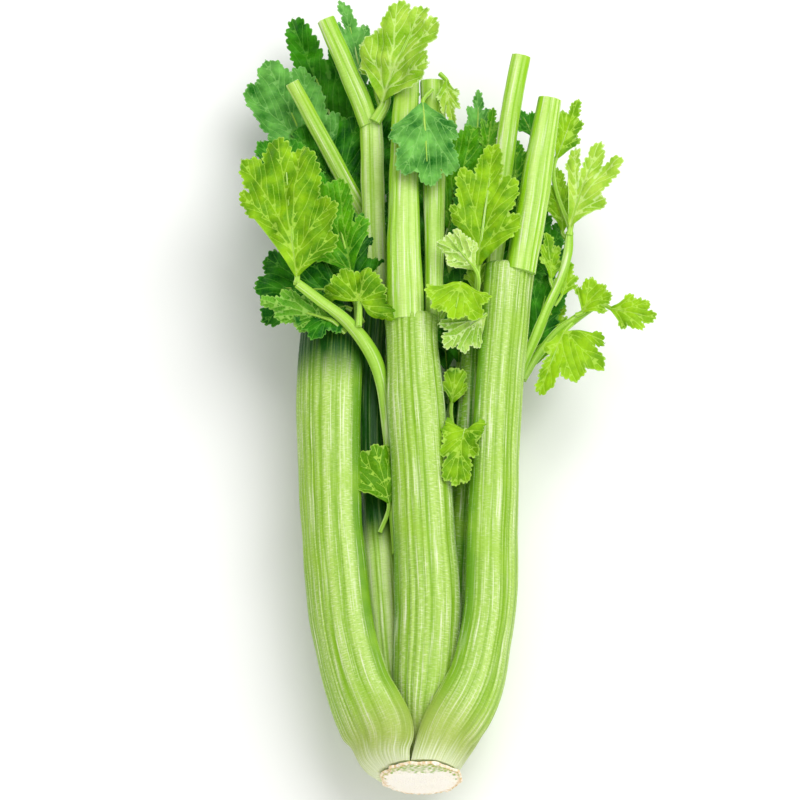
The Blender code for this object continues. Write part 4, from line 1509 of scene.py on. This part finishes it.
def tube_patch(line: np.ndarray, radii: np.ndarray, sides: int, finish: int) -> Patch:
    """A round closed stem along a line.

    Args:
        line: The points of its middle.
        radii: Its radius at each point.
        sides: The points round it.
        finish: The number of its material.

    Returns:
        The patch.
    """
    forward = unit(np.gradient(line, axis=0))
    across = np.zeros_like(line)
    across[0] = unit(np.cross(forward[0], (0.37, 0.11, 0.92)))
    for i in range(1, len(line)):
        across[i] = unit(across[i - 1] - (across[i - 1] @ forward[i]) * forward[i])
    out = np.cross(across, forward)
    turn = np.arange(sides) / sides * 2.0 * math.pi
    rings = line[:, None] + radii[:, None, None] * (
        np.cos(turn)[:, None] * across[:, None] + np.sin(turn)[:, None] * out[:, None])
    marks = {"ridge": np.tile(0.5 + 0.5 * np.cos(5.0 * turn), len(line)),
             "from_crown": np.repeat(line[:, 1], sides)}
    around = np.arange(sides + 1) / sides * 2.0 * math.pi * radii.max()
    side = swept_patch(rings, around, lengths_along(line), finish, marks)
    inner = np.arange(1, sides - 1)
    first = np.stack([0 * inner, inner, inner + 1], 1)
    last = first[:, ::-1] + (len(line) - 1) * sides
    flat = side.points[:, :2]
    return Patch(side.points, [side.faces[0], first, last], flat, [finish] * 3, marks,
                 [side.corners[0], flat[first], flat[last]])


# ---------------------------------------------------------------------------------------------
# The head: its stalks, stems and leaves, each where the CAD model has it
# ---------------------------------------------------------------------------------------------

BROAD, PLAIN, FINE, GREEN = Rib

OUTER = {"depth": (0.21, 0.38), "curl": (0.17, 0.17), "top": End.SHOULDER}
SECOND = {"depth": (0.24, 0.44), "curl": (0.24, 0.15), "top": End.SHOULDER}
INNER = {"depth": (0.36, 0.70), "curl": (0.20, 0.06), "top": End.SHOULDER, "skin": "inner"}
# Stalks deep inside the head wear a darker copy of the inner skin: painted shade.
SHADED_INNER = {**INNER, "skin": "hidden"}
STEM = {"skin": "stem", "sunk": (2.5, 0.0), "rib_height": 0.4}
LEAF_STEM = {"skin": "leaf_stem", "slot": "leaf_stem", "top": End.SUNK, "sunk": (1.5, 1.0),
             "rib_height": 0.22}

STALKS = (
    Run("stalk_left", (
        (-17.6, 3.2, 6.0, 31, 155), (-22.0, 9, 9.1, 36.2, 143), (-24.2, 18.5, 13.2, 41, 131),
        (-28.8, 29, 15.2, 40.5, 129), (-34.9, 44, 17.0, 36.5, 127), (-39.9, 63, 18.5, 35.3, 124),
        (-43.5, 86, 19.0, 34.5, 120), (-47.0, 131.5, 19.0, 33.5, 116),
        (-48.3, 188.5, 17.0, 35, 113), (-46.5, 231.5, 13.0, 33, 110),
        (-44.5, 249.5, 10.0, 27, 107)),
        ribs=(PLAIN,) * 5 + (FINE, PLAIN, BROAD, BROAD, GREEN),
        # Painted shade at the top, where the leaves above cast their shadow.
        shaded=(194.0, 222.0, 300.0, 340.0), **OUTER),
    Run("stalk_right", (
        (8.4, 4.2, 15.0, 26, 57), (10.6, 9, 15.8, 28, 56), (15.4, 18.5, 17.2, 31, 53),
        (20.9, 27, 17.4, 33.5, 52), (26.0, 36, 17.6, 33.6, 53), (30.6, 48, 17.8, 31.8, 54),
        (34.2, 65, 18.4, 30.4, 55), (37.0, 86, 19.0, 30, 57), (38.3, 131.5, 19.0, 28.5, 58),
        (40.5, 188.5, 18.0, 27, 59), (44.5, 239.5, 16.0, 26, 62), (46.5, 261.5, 15.0, 27, 64)),
        ribs=(GREEN, PLAIN, BROAD, BROAD, FINE, PLAIN, FINE, PLAIN, PLAIN, PLAIN), **OUTER),
    Run("stalk_back_left", (
        (-10.6, 1.6, -14.4, 22.5, 241), (-14.4, 10, -20.8, 27.5, 239),
        (-20.0, 27.5, -27.4, 33, 236), (-24.5, 50, -33.2, 34, 238), (-27.5, 85.5, -37.0, 33, 243),
        (-29.0, 131.5, -38.8, 32, 247), (-30.0, 188.5, -39.3, 30, 249),
        (-32.5, 244.5, -39.2, 27, 251), (-34.0, 275.5, -39.3, 24, 252)),
        ribs=(PLAIN, BROAD, PLAIN, PLAIN, FINE, PLAIN, PLAIN, BROAD, PLAIN), **OUTER),
    Run("stalk_back_right", (
        (11.8, 1.9, -12.6, 23, 316), (14.0, 9, -16.4, 26, 314), (22.0, 27.5, -24.8, 31, 311),
        (28.5, 50, -31.7, 33, 306), (30.5, 85.5, -36.2, 32, 300), (31.5, 131.5, -38.5, 31, 296),
        (32.0, 188.5, -39.2, 29, 293), (34.0, 239.5, -39.5, 25, 290),
        (36.0, 262.5, -39.8, 23, 289)),
        ribs=(PLAIN, PLAIN, FINE, PLAIN, BROAD, PLAIN, PLAIN, BROAD, PLAIN), **OUTER),
    Run("stalk_front", (
        (0.3, 10, 8.8, 13.5, 92), (-0.1, 17, 11.2, 19, 92), (-0.3, 30, 14.2, 25, 91),
        (1.5, 50, 18.6, 32, 90), (3.2, 85.5, 22.5, 33, 89), (0.7, 137.5, 24.0, 30, 90),
        (-2.7, 188.5, 24.5, 29, 91), (-4.4, 221.5, 24.5, 26, 91), (-4.6, 232.5, 24.3, 27, 91)),
        ribs=(PLAIN, PLAIN, FINE, PLAIN, PLAIN, BROAD, PLAIN, BROAD), **SECOND),
    Run("stalk_side_left", (
        (-9.4, 10, -1.8, 13, 188), (-15.0, 17, -4.0, 18, 190), (-21.0, 30, -6.8, 23, 192),
        (-27.0, 50, -8.8, 24, 192), (-31.5, 85.5, -10.4, 24, 192), (-35.0, 131.5, -11.5, 23, 190),
        (-37.5, 188.5, -12.0, 20, 188), (-41.0, 239.5, -12.0, 17, 186)),
        ribs=(PLAIN, BROAD, PLAIN, FINE, PLAIN, PLAIN), **SECOND),
    Run("stalk_side_right", (
        (9.4, 10, -1.0, 13, 0), (15.0, 17, -3.4, 18, -3), (21.5, 30, -5.8, 23, -5),
        (27.5, 50, -7.8, 24, -6), (32.0, 85.5, -9.6, 24, -6), (35.0, 131.5, -11.0, 22, -4),
        (38.0, 177.5, -10.0, 18, 2), (41.5, 200.5, -7.5, 15, 8)),
        ribs=(PLAIN, PLAIN, BROAD, PLAIN, FINE, PLAIN), **SECOND),
    Run("stalk_back", (
        (0.4, 8, -10.2, 11, 270), (0.9, 15, -15.0, 13, 270), (1.0, 30, -21.6, 17, 270),
        (1.0, 50, -22.8, 22, 270), (1.0, 85.5, -24.5, 24, 269), (0.0, 137.5, -25.5, 22, 268),
        (-1.0, 198.5, -25.0, 20, 266), (-3.0, 254.5, -24.0, 16, 264)), ribs=(PLAIN,) * 6, **SECOND),
    Run("stalk_inner_left", (
        (-4.2, 12.5, 3.4, 7, 140), (-6.8, 21.5, 4.6, 9, 138), (-11.5, 35.5, 5.2, 12, 128),
        (-15.5, 53, 5.6, 14, 115), (-19.0, 90.5, 6.0, 15, 105), (-22.0, 126.5, 5.0, 15.5, 100),
        (-25.0, 169.5, 4.0, 15, 95), (-25.0, 216.5, 4.0, 13.5, 92), (-23.0, 249.5, 5.0, 12.5, 90),
        (-23.8, 290.5, 6.0, 11.5, 90), (-25.0, 341.5, 6.0, 11.5, 90)),
        # Painted shade along the middle, where stems and leaves overhang it.
        ribs=(PLAIN, BROAD, PLAIN, BROAD, PLAIN), shaded=(112.0, 136.0, 238.0, 268.0), **INNER),
    Run("stalk_inner_right", (
        (4.2, 12.5, 3.0, 7, 42), (7.0, 21.5, 4.2, 9, 45), (11.0, 35.5, 4.8, 11, 55),
        (14.5, 53, 5.0, 13, 68), (18.5, 90.5, 5.0, 14, 78), (20.5, 131.5, 5.0, 14, 84),
        (24.0, 183.5, 4.5, 13, 88), (26.0, 227.5, 4.0, 11, 90)),
        ribs=(PLAIN, BROAD, FINE, PLAIN, PLAIN), **SHADED_INNER),
    Run("stalk_heart", (
        (0.0, 13, -3.0, 7, 270), (0.8, 28.5, -4.5, 8, 268), (3.0, 54.5, -6.0, 10, 265),
        (5.5, 106.5, -5.5, 10, 265), (8.5, 157.5, -4.0, 9, 262), (12.5, 203.5, -2.0, 8, 260)),
        ribs=(PLAIN,) * 4, **SHADED_INNER),
)

# Stems above the joints. Those whose name ends in _cut were trimmed square when picked.
STEMS = (
    Run("stem_front_cut", (
        (-7.8, 233.5, 25.0, 18.5, 91), (-8.4, 262.5, 24.5, 17.5, 92), (-8.6, 286.5, 23.5, 16, 92),
        (-8.2, 326.5, 21.0, 14, 91), (-6.8, 363.5, 18.5, 11.5, 90)), (0.57, 0.70),
        ribs=(GREEN, PLAIN, BROAD, BROAD, PLAIN, GREEN), **STEM),
    Run("stem_front_fork_cut", (
        (6.4, 233.5, 20.0, 8.5, 85), (6.6, 257.5, 19.0, 9.5, 86), (6.8, 286.5, 17.0, 10.5, 88),
        (6.6, 326.5, 13.0, 12, 88), (6.2, 363.5, 9.0, 13, 88)), (0.86, 0.58),
        ribs=(PLAIN, BROAD, FINE, PLAIN), **STEM),
    Run("stem_inner_left_cut", (
        (-26.6, 343.5, 7.0, 10.5, 95), (-31.0, 355.5, 8.0, 10.5, 96), (-38.0, 372.5, 9.5, 9.5, 98),
        (-48.0, 396.5, 10.0, 8.8, 98)), (0.72, 0.78), ribs=(PLAIN, BROAD, PLAIN, GREEN), **STEM),
    Run("stem_back_cut", (
        (-5.5, 257, -22.5, 11, 150), (-15.0, 276.5, -14.0, 10, 120), (-31.0, 301.5, -4.0, 8.5, 100),
        (-48.0, 331.5, 4.0, 7.8, 95), (-65.0, 362.5, 10.0, 7.2, 95)), (0.70, 0.84),
        ribs=(PLAIN, BROAD, PLAIN, GREEN), **STEM),
    Run("stem_right_cut", (
        (50.5, 262.5, 16.0, 15, 70), (53.0, 277.5, 17.0, 15.5, 74), (56.3, 295.5, 18.5, 15.5, 78),
        (60.3, 321.5, 20.5, 14, 80), (65.0, 349.5, 22.0, 11.5, 80)), (0.67, 0.78),
        ribs=(GREEN, BROAD, PLAIN, FINE, PLAIN), **STEM),
    Run("stem_right_fork_cut", (
        (37.0, 266.5, 9.5, 8, 80), (38.5, 282.5, 9.0, 9.5, 85), (41.0, 312.5, 9.0, 10, 88),
        (45.5, 347.5, 10.0, 9.8, 90), (51.0, 376.5, 11.0, 9.2, 90)), (0.90, 0.82),
        ribs=(PLAIN, BROAD, PLAIN, GREEN), **STEM),
    Run("leaf_stem_left", (
        (-12.6, 114.5, 11.5, 3.8, 90), (-14.2, 142.5, 12.5, 4.6, 90), (-16.2, 170.5, 13.0, 5.4, 90),
        (-18.2, 192.5, 14.5, 6.2, 92), (-21.6, 208.5, 18.5, 6.8, 98), (-28.5, 220.0, 24.5, 7.0, 98),
        (-39.0, 230.5, 30.5, 6.0, 94), (-51.0, 239.0, 33.5, 5.2, 92),
        (-61.0, 246.0, 36.0, 4.4, 92)),
        (0.90, 0.86), ribs=(PLAIN, BROAD, GREEN, PLAIN), **LEAF_STEM),
    Run("leaf_stem_right", (
        (48.0, 211.0, -3.0, 5.5, 60), (56.0, 225.5, 4.0, 5.2, 80), (63.0, 241.5, 8.5, 4.8, 90),
        (70.0, 256.8, 11.0, 4.6, 90), (73.8, 270.5, 12.5, 4.4, 90), (74.8, 280.5, 13.5, 4, 90)),
        (0.91, 0.90), ribs=(PLAIN, BROAD, GREEN), **LEAF_STEM),
    Run("leaf_stem_far_right", (
        (51.5, 213.0, -7.0, 5, 40), (59.0, 222.0, -2.0, 4.6, 70), (68.0, 231.0, 4.5, 4.4, 90),
        (76.5, 236.2, 9.0, 4.2, 90), (84.0, 240.6, 12.0, 3.8, 90), (90.0, 244.0, 13.5, 3.2, 90)),
        (0.90, 0.94), ribs=(PLAIN, BROAD, GREEN), **LEAF_STEM),
)

# Leaves made lighter get painted light, as they lie in the open. Those made darker get painted
# shade, as they lie deep in the bunch.
LEAVES = (
    # Left side, from the nearest to the furthest.
    Leaf("leaf_left_front", (-62, 247.5, 36.8), (-62, 250, 37.5), (-69, 323.5, 42), 48, -8, 24, 8,
         LobePlan.FRONT, LeafAge.YOUNG, tone=-0.15, stem=3.6),
    Leaf("leaf_left_droop", (-31, 227, 31.8), (-31, 238, 33.8), (-28, 254, 36), 36, -10, 56, 3,
         LobePlan.DRAPE, LeafAge.YOUNG, tone=-0.2, stem=3.4),
    Leaf("leaf_left_inner", (-32, 229.5, 20), (-35, 256.5, 25), (-45.5, 305, 24), 33, -14, 22, 8,
         LobePlan.SIDE, LeafAge.GREEN),
    Leaf("leaf_left_dark", (-29.8, 233, 19), (-39, 249, 18), (-84, 252, 14), 42, -4, 20, 4,
         LobePlan.BROAD, LeafAge.MATURE, tone=-0.25),
    Leaf("leaf_left_turned", (-39, 225.5, 25), (-45, 230.5, 27.5), (-80, 240, 29.5), 19, 158, 24,
         10, LobePlan.KITE, LeafAge.GREEN),
    Leaf("leaf_far_left", (-43, 251.5, -6), (-49, 312, -8), (-77.5, 379, -7), 44, 12, 16, 8,
         LobePlan.BROAD, LeafAge.BLUISH),
    Leaf("leaf_far_left_low", (-44, 251.5, 5), (-54, 285.5, 15), (-82, 330.5, 12), 40, 22, 24, 8,
         LobePlan.BROAD, LeafAge.MATURE),
    Leaf("leaf_top_left", (-38, 293.5, -21), (-39, 337, -21), (-64.5, 406, -15), 50, -10, 18, 8,
         LobePlan.CUT, LeafAge.MATURE),
    Leaf("leaf_top", (-28, 323.5, -6), (-29.5, 364, -5.5), (-39.5, 410.5, -4), 23, 34, 20, 14,
         LobePlan.KITE, LeafAge.BLUISH),
    Leaf("leaf_top_folded", (-22.5, 342.5, 11.5), (-19.5, 350.5, 15.5), (3, 397, 31), 40, -24, 30,
         18, LobePlan.FAN, LeafAge.PALE, tone=-0.2, stem=6.5, vein_size=1.9),
    Leaf("leaf_top_folded_small", (-20.3, 351, 8), (-22.5, 360, 9), (-24.5, 387, 8), 15, 10, 28, 12,
         LobePlan.BROAD, LeafAge.PALE, stem=3.0),
    Leaf("leaf_left_deep", (-41, 241.5, -18.5), (-42, 285.5, -27), (-60, 353.5, -33), 46, -12, 20,
         6, LobePlan.TRIPLE, LeafAge.MATURE),
    Leaf("leaf_left_shaded", (-31, 262, -13), (-34, 277, -13.5), (-50, 312, -14), 28, 6, 22, 6,
         LobePlan.BROAD, LeafAge.MATURE),
    # Middle.
    Leaf("leaf_centre_hanging", (5, 355.5, 17), (1, 346, 27), (3.5, 300, 30), 34, -6, 32, 5,
         LobePlan.BROAD, LeafAge.BLUISH),
    Leaf("leaf_centre_side", (10.5, 365, 14.5), (13, 361, 18), (17, 335.5, 21.5), 11, 20, 30, 10,
         LobePlan.NARROW, LeafAge.PALE),
    Leaf("leaf_centre_upper", (28, 229.5, 3), (14, 290, -5), (27, 341, -3), 40, 4, 24, 6,
         LobePlan.BROAD, LeafAge.GREEN, tone=0.1),
    Leaf("leaf_centre_deep", (12.5, 205, -3), (13, 215.5, -7), (12, 285.5, -15), 36, -16, 20, 8,
         LobePlan.BROAD, LeafAge.MATURE),
    Leaf("leaf_centre_bright", (28.5, 229.5, 9.5), (28.5, 260.5, 23.5), (37.5, 321.5, 30), 36, -6,
         28, 8, LobePlan.KITE, LeafAge.YOUNG, stem=3.2),
    Leaf("leaf_centre_spike", (30, 229.5, -2), (28, 330, -9), (29.5, 366.5, -10), 14, 16, 14, 12,
         LobePlan.KITE, LeafAge.BLUISH),
    Leaf("leaf_centre_pale", (23, 233.5, 11), (27, 255.5, 33), (11.5, 273.5, 37), 17, 165, 30, 6,
         LobePlan.FAN, LeafAge.PALE),
    Leaf("leaf_centre_small", (24.5, 229.5, 7), (27.5, 252, 9.5), (29.5, 271.5, 7.5), 12, -24, 20,
         12, LobePlan.NARROW, LeafAge.YOUNG),
    Leaf("leaf_centre_wide", (11, 233.5, 25), (20, 248.5, 33), (16.5, 227, 38), 32, 0, 44, 4,
         LobePlan.FAN, LeafAge.YOUNG, tone=0.4),
    Leaf("leaf_centre_folded", (27, 231.5, 24), (32, 232.5, 29), (10.5, 214, 33.5), 23, 158, 24, 18,
         LobePlan.KITE, LeafAge.PALE, tone=-0.4),
    Leaf("leaf_heart_small", (20, 163.5, 10), (15.5, 192, 12), (17.5, 210, 15), 13, 14, 20, 8,
         LobePlan.FAN, LeafAge.YOUNG, tone=-0.25),
    Leaf("leaf_heart_curled", (22.5, 163.5, 12), (21.6, 173.5, 25.6), (17.5, 143.5, 26), 20, 16, 40,
         16, LobePlan.GOBLET, LeafAge.YOUNG, tone=-0.1, vein_size=0.6),
    Leaf("leaf_heart_fringe", (-20, 126, 10.5), (-15.8, 138, 16.5), (-24, 167, 19), 27, 12, 26, 8,
         LobePlan.FAN, LeafAge.YOUNG, tone=-0.8, vein_size=0.25),
    # Right side.
    Leaf("leaf_right_upper", (74.8, 281, 14.5), (75, 284, 16.3), (90.5, 324.5, 23), 29, -14, 28, 6,
         LobePlan.CLAW, LeafAge.PALE, stem=3.4, vein_size=1.6),
    Leaf("leaf_right_upper_inner", (73.8, 279, 9.5), (71.5, 285.5, 5), (68.5, 318.5, 1), 17, 12, 24,
         10, LobePlan.KITE, LeafAge.YOUNG),
    Leaf("leaf_right_dark", (67.4, 258.5, 5), (66, 261.5, -1), (61, 293.5, -4), 20, 14, 20, 8,
         LobePlan.BROAD, LeafAge.MATURE),
    Leaf("leaf_right_folded", (66.4, 254.5, 8.5), (65.6, 259, 8.3), (63, 283, 7.6), 12, 24, 20, 14,
         LobePlan.NARROW, LeafAge.YOUNG),
    Leaf("leaf_right_tip", (75.4, 282.5, 10.8), (68.7, 322.5, 10), (79.3, 353, 13), 15, 20, 20, 12,
         LobePlan.NARROW, LeafAge.YOUNG),
    Leaf("leaf_right_long", (52.5, 212.5, -12), (57.5, 220, -11), (72.5, 254, -5), 16, 26, 16, 12,
         LobePlan.KITE, LeafAge.YOUNG),
    Leaf("leaf_far_right_curl", (79, 238.4, 12.8), (81, 239, 15), (92, 251.5, 19.5), 20, -20, 34, 6,
         LobePlan.BROAD, LeafAge.YOUNG, tone=0.25),
    Leaf("leaf_far_right_tip", (91, 244, 15), (95, 240.5, 15.5), (116.5, 234.5, 19), 17, 14, 24, 8,
         LobePlan.BROAD, LeafAge.YOUNG, tone=0.25),
    Leaf("leaf_far_right_big", (75, 233, 10.5), (72, 229.5, 14), (59.5, 195.5, 16), 31, 10, 24, 6,
         LobePlan.SICKLE, LeafAge.YOUNG, tone=0.25),
    # Underneath.
    Leaf("leaf_back_left", (-36, 276.5, -37), (-40, 287.5, -36.5), (-70, 343.5, -41), 46, 14, 16, 4,
         LobePlan.BROAD, LeafAge.MATURE),
    Leaf("leaf_back_right", (37, 263.5, -36.5), (41, 274.5, -36), (59, 332.5, -39), 46, -14, 16, 4,
         LobePlan.TRIPLE, LeafAge.MATURE),
    Leaf("leaf_back_middle", (2, 255.5, -24), (6, 271.5, -28), (13, 337.5, -36), 44, 8, 16, 6,
         LobePlan.BROAD, LeafAge.MATURE),
    Leaf("leaf_back_upper", (-31, 276.5, -35), (-25, 308.5, -31), (-16, 384.5, -27), 46, -18, 18, 8,
         LobePlan.BROAD, LeafAge.MATURE),
)

# Small and hidden leaves that fill the bunch, most of them darkened as painted shade. The CAD model
# leaves these out.
INNER_LEAVES = (
    Leaf("inner_leaf_left", (-32, 228, 8), (-34, 240, 8), (-41, 300, 6), 38, 10, 22, 6,
         LobePlan.BROAD, LeafAge.MATURE, tone=-0.2),
    # A dark leaf laid over the top of stalk_left as a painted shadow of the leaves above it.
    Leaf("inner_leaf_left_low", (-36, 238, 22), (-38, 239, 24), (-61, 229, 25), 27, 8, 30, 6,
         LobePlan.BROAD, LeafAge.MATURE, tone=-0.35),
    Leaf("inner_leaf_left_top", (-36, 280, -8), (-38, 296, -8), (-50, 352, -6), 40, 8, 20, 6,
         LobePlan.BROAD, LeafAge.MATURE, tone=-0.2),
    Leaf("inner_leaf_gap", (-14, 236, 2), (-13, 244, 2), (-15, 306, 0), 22, 0, 18, 6,
         LobePlan.NARROW, LeafAge.MATURE, tone=-0.3),
    Leaf("inner_leaf_middle_low", (19, 210, -2), (19, 218, -2), (21, 268, -2), 34, 6, 20, 6,
         LobePlan.BROAD, LeafAge.MATURE, tone=-0.25),
    Leaf("inner_leaf_middle", (30, 252, 0), (31, 262, 0), (33, 322, -2), 34, -8, 22, 6,
         LobePlan.BROAD, LeafAge.MATURE, tone=-0.2),
    Leaf("inner_leaf_heart", (14, 150, -4), (14, 158, -4), (16, 214, -3), 24, 6, 20, 6,
         LobePlan.BROAD, LeafAge.MATURE, tone=-0.25),
    Leaf("inner_leaf_right", (50, 262, -2), (52, 274, -2), (57, 322, -2), 24, 10, 20, 8,
         LobePlan.BROAD, LeafAge.MATURE, tone=-0.1),
    Leaf("inner_leaf_right_low", (55, 222, -8), (56, 227, -7), (65, 264, -4), 22, 12, 22, 8,
         LobePlan.BROAD, LeafAge.MATURE, tone=-0.1),
    Leaf("inner_leaf_right_side", (68, 246, 7), (71, 250, 9), (76, 266, 10), 11, 8, 26, 8,
         LobePlan.NARROW, LeafAge.YOUNG, stem=1.8),
    Leaf("inner_leaf_right_top", (47, 300, 3), (47, 310, 3), (48.5, 334, 3), 16, 14, 26, 10,
         LobePlan.KITE, LeafAge.GREEN),
    Leaf("inner_leaf_tip", (32, 300, -2), (33, 326, -1), (36, 353, 0), 10, 10, 20, 10,
         LobePlan.NARROW, LeafAge.GREEN, stem=1.8),
    Leaf("inner_leaf_behind_stem", (57, 320, 2), (57, 336, 4), (49.8, 350.5, 4), 12, 10, 24, 8,
         LobePlan.KITE, LeafAge.MATURE, stem=1.8),
)

SKINS = {
    "outer": CelerySkin("stalk_skin"),
    "inner": CelerySkin("inner_stalk_skin", ridge="#CEEA8C", groove="#98C634", flank="#649C10",
                        pebble_shading=0.25),
    # A darker, greener copy of the inner skin, as painted shade on the stalks deep inside the head.
    "hidden": CelerySkin("shaded_stalk_skin", ridge="#8CC034", groove="#4C8C06", flank="#2E6A00"),
    "stem": CelerySkin("stem_skin", ridge="#BEDE74", groove="#8AC20C", flank="#6EA40C",
                       shoot="#A5CC34", pebble_shading=0.16),
    "leaf_stem": CelerySkin("leaf_stem_skin", ridge="#B4DC5E", groove="#8CC02A",
                            flank="#79AE1A", shoot="#9CC63C", roughness=0.36, pebble_shading=0.14),
}
BLADES = (
    LeafBlade("mature_upper", "#48A012", "#065400", "#66AC38", "#76B448", 0.44, 0.10),
    LeafBlade("mature_under", "#54A02C", "#22740E", "#88C25C", "#98CA6C", 0.54, 0.20),
    LeafBlade("bluish_upper", "#74BA50", "#1C6814", "#88C466", "#90CA70", 0.46, 0.10),
    LeafBlade("bluish_under", "#68B454", "#347F30", "#92CA80", "#9CD08C", 0.54, 0.20),
    LeafBlade("green_upper", "#5CA808", "#247000", "#90C640", "#98CC4C", 0.44, 0.10),
    LeafBlade("green_under", "#6CAA28", "#3E8810", "#A0CC60", "#A8D26C", 0.54, 0.20),
    LeafBlade("young_upper", "#94C414", "#508800", "#B4DC50", "#BCE064", 0.46, 0.08),
    LeafBlade("young_under", "#90C038", "#5C9810", "#B8DC70", "#C2E27E", 0.52, 0.18),
    LeafBlade("pale_upper", "#B4D64C", "#7CB012", "#D2EC90", "#DCF2AC", 0.46, 0.08),
    LeafBlade("pale_under", "#C2DC74", "#8CBA38", "#DAEEAA", "#E2F2B8", 0.52, 0.15),
)


# ---------------------------------------------------------------------------------------------
# Studio
# ---------------------------------------------------------------------------------------------


@dataclass(frozen=True)
class SoftBox:
    """A square studio light: where it stands from the head's middle, its side and its power."""

    name: str
    place: tuple
    side: float
    watts: float

    def build(self, aim: Vector) -> None:
        """Make the light and turn it to the head."""
        data = bpy.data.lights.new(self.name, "AREA")
        data.shape = "SQUARE"
        data.size = self.side
        data.energy = self.watts
        light = bpy.data.objects.new(self.name, data)
        light.location = aim + Vector(self.place)
        light.rotation_mode = "QUATERNION"
        light.rotation_quaternion = (-Vector(self.place)).to_track_quat("-Z", "Y")
        bpy.context.scene.collection.objects.link(light)


@dataclass(frozen=True)
class Studio:
    """The paper, the lights and the camera round the head."""

    floor_side: float = 6.0
    sky: float = 0.70
    lens: float = 400.0
    elevation: float = 72.0
    distance: float = 4.457
    aim_shift: tuple = (-10.5, 197.2, 0.0)
    boxes: tuple = (
        SoftBox("key_light", (0.50, 0.52, 1.38), 1.2, 17.5),
        SoftBox("front_light", (0.25, -1.5, 0.8), 1.2, 6.0),
    )

    def build(self, seat: np.ndarray) -> None:
        """Make the studio.

        Args:
            seat: Where the head's frame has its origin in the CAD model, in millimetres.
        """
        aim = Vector((seat + np.array(self.aim_shift)) * MM)
        self.lay_floor()
        self.hang_sky()
        for box in self.boxes:
            box.build(aim)
        self.set_camera(aim)

    def lay_floor(self) -> None:
        """Lay the paper under the head."""
        half = self.floor_side / 2.0
        mesh = bpy.data.meshes.new("floor")
        corners = [(-half, -half, 0.0), (half, -half, 0.0), (half, half, 0.0), (-half, half, 0.0)]
        mesh.from_pydata(corners, [], [(0, 1, 2, 3)])
        mesh.materials.append(StudioPaper().material())
        floor = bpy.data.objects.new("floor", mesh)
        bpy.context.scene.collection.objects.link(floor)

    def hang_sky(self) -> None:
        """Fill the room with even white light."""
        world = bpy.data.worlds.new("studio_sky")
        world.use_nodes = True
        ground = world.node_tree.nodes["Background"]
        ground.inputs["Color"].default_value = linear_colour("#FFFFFF")
        ground.inputs["Strength"].default_value = self.sky
        bpy.context.scene.world = world
        bpy.context.scene.view_settings.view_transform = "Standard"

    def set_camera(self, aim: Vector) -> None:
        """Stand the camera over the foot of the head, looking down along it."""
        data = bpy.data.cameras.new("camera")
        data.lens = self.lens
        camera = bpy.data.objects.new("camera", data)
        rise = math.radians(self.elevation)
        back = Vector((0.0, -math.cos(rise), math.sin(rise)))
        camera.location = aim + self.distance * back
        camera.rotation_mode = "QUATERNION"
        camera.rotation_quaternion = (-back).to_track_quat("-Z", "Y")
        bpy.context.scene.collection.objects.link(camera)
        bpy.context.scene.camera = camera


def head_seat(crown: Crown) -> np.ndarray:
    """Where the head's frame has its origin in the CAD model, from the crown's own box.

    Args:
        crown: The crown, whose sizes say how far its box reaches round that origin.

    Returns:
        The place in millimetres.
    """
    low, high = (np.array(corner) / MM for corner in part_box(crown.name))
    slant = math.radians(crown.slant)
    return np.array([
        0.5 * (low[0] + high[0]),
        high[1] - crown.core_height * math.cos(slant),
        0.5 * (low[2] + high[2]) + 0.5 * crown.rim * math.sin(slant),
    ])


def main() -> None:
    """Build every piece of the head and the studio round it."""
    logging.basicConfig(level=logging.INFO, format="%(name)s: %(message)s")
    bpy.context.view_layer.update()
    crown = Crown()
    seat = head_seat(crown)
    skins = {name: finish.material() for name, finish in SKINS.items()}
    blades = {finish.name: finish.material() for finish in BLADES}
    crown_cut = CutFlesh("crown_cut").material()
    stem_cut = CutFlesh("stem_cut", flesh="#EAF2CE", rim="#C4DC86", string="#7FAF4A",
                        dried=0.6).material()
    crown.piece(crown_cut, skins["outer"]).build(seat)
    for run in (*STALKS, *STEMS):
        run.piece(skins, stem_cut).build(seat)
    for leaf in (*LEAVES, *INNER_LEAVES):
        leaf.piece(blades, skins["leaf_stem"], leaf in LEAVES).build(seat)
    Studio().build(seat)
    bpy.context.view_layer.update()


if __name__ == "__main__":
    main()
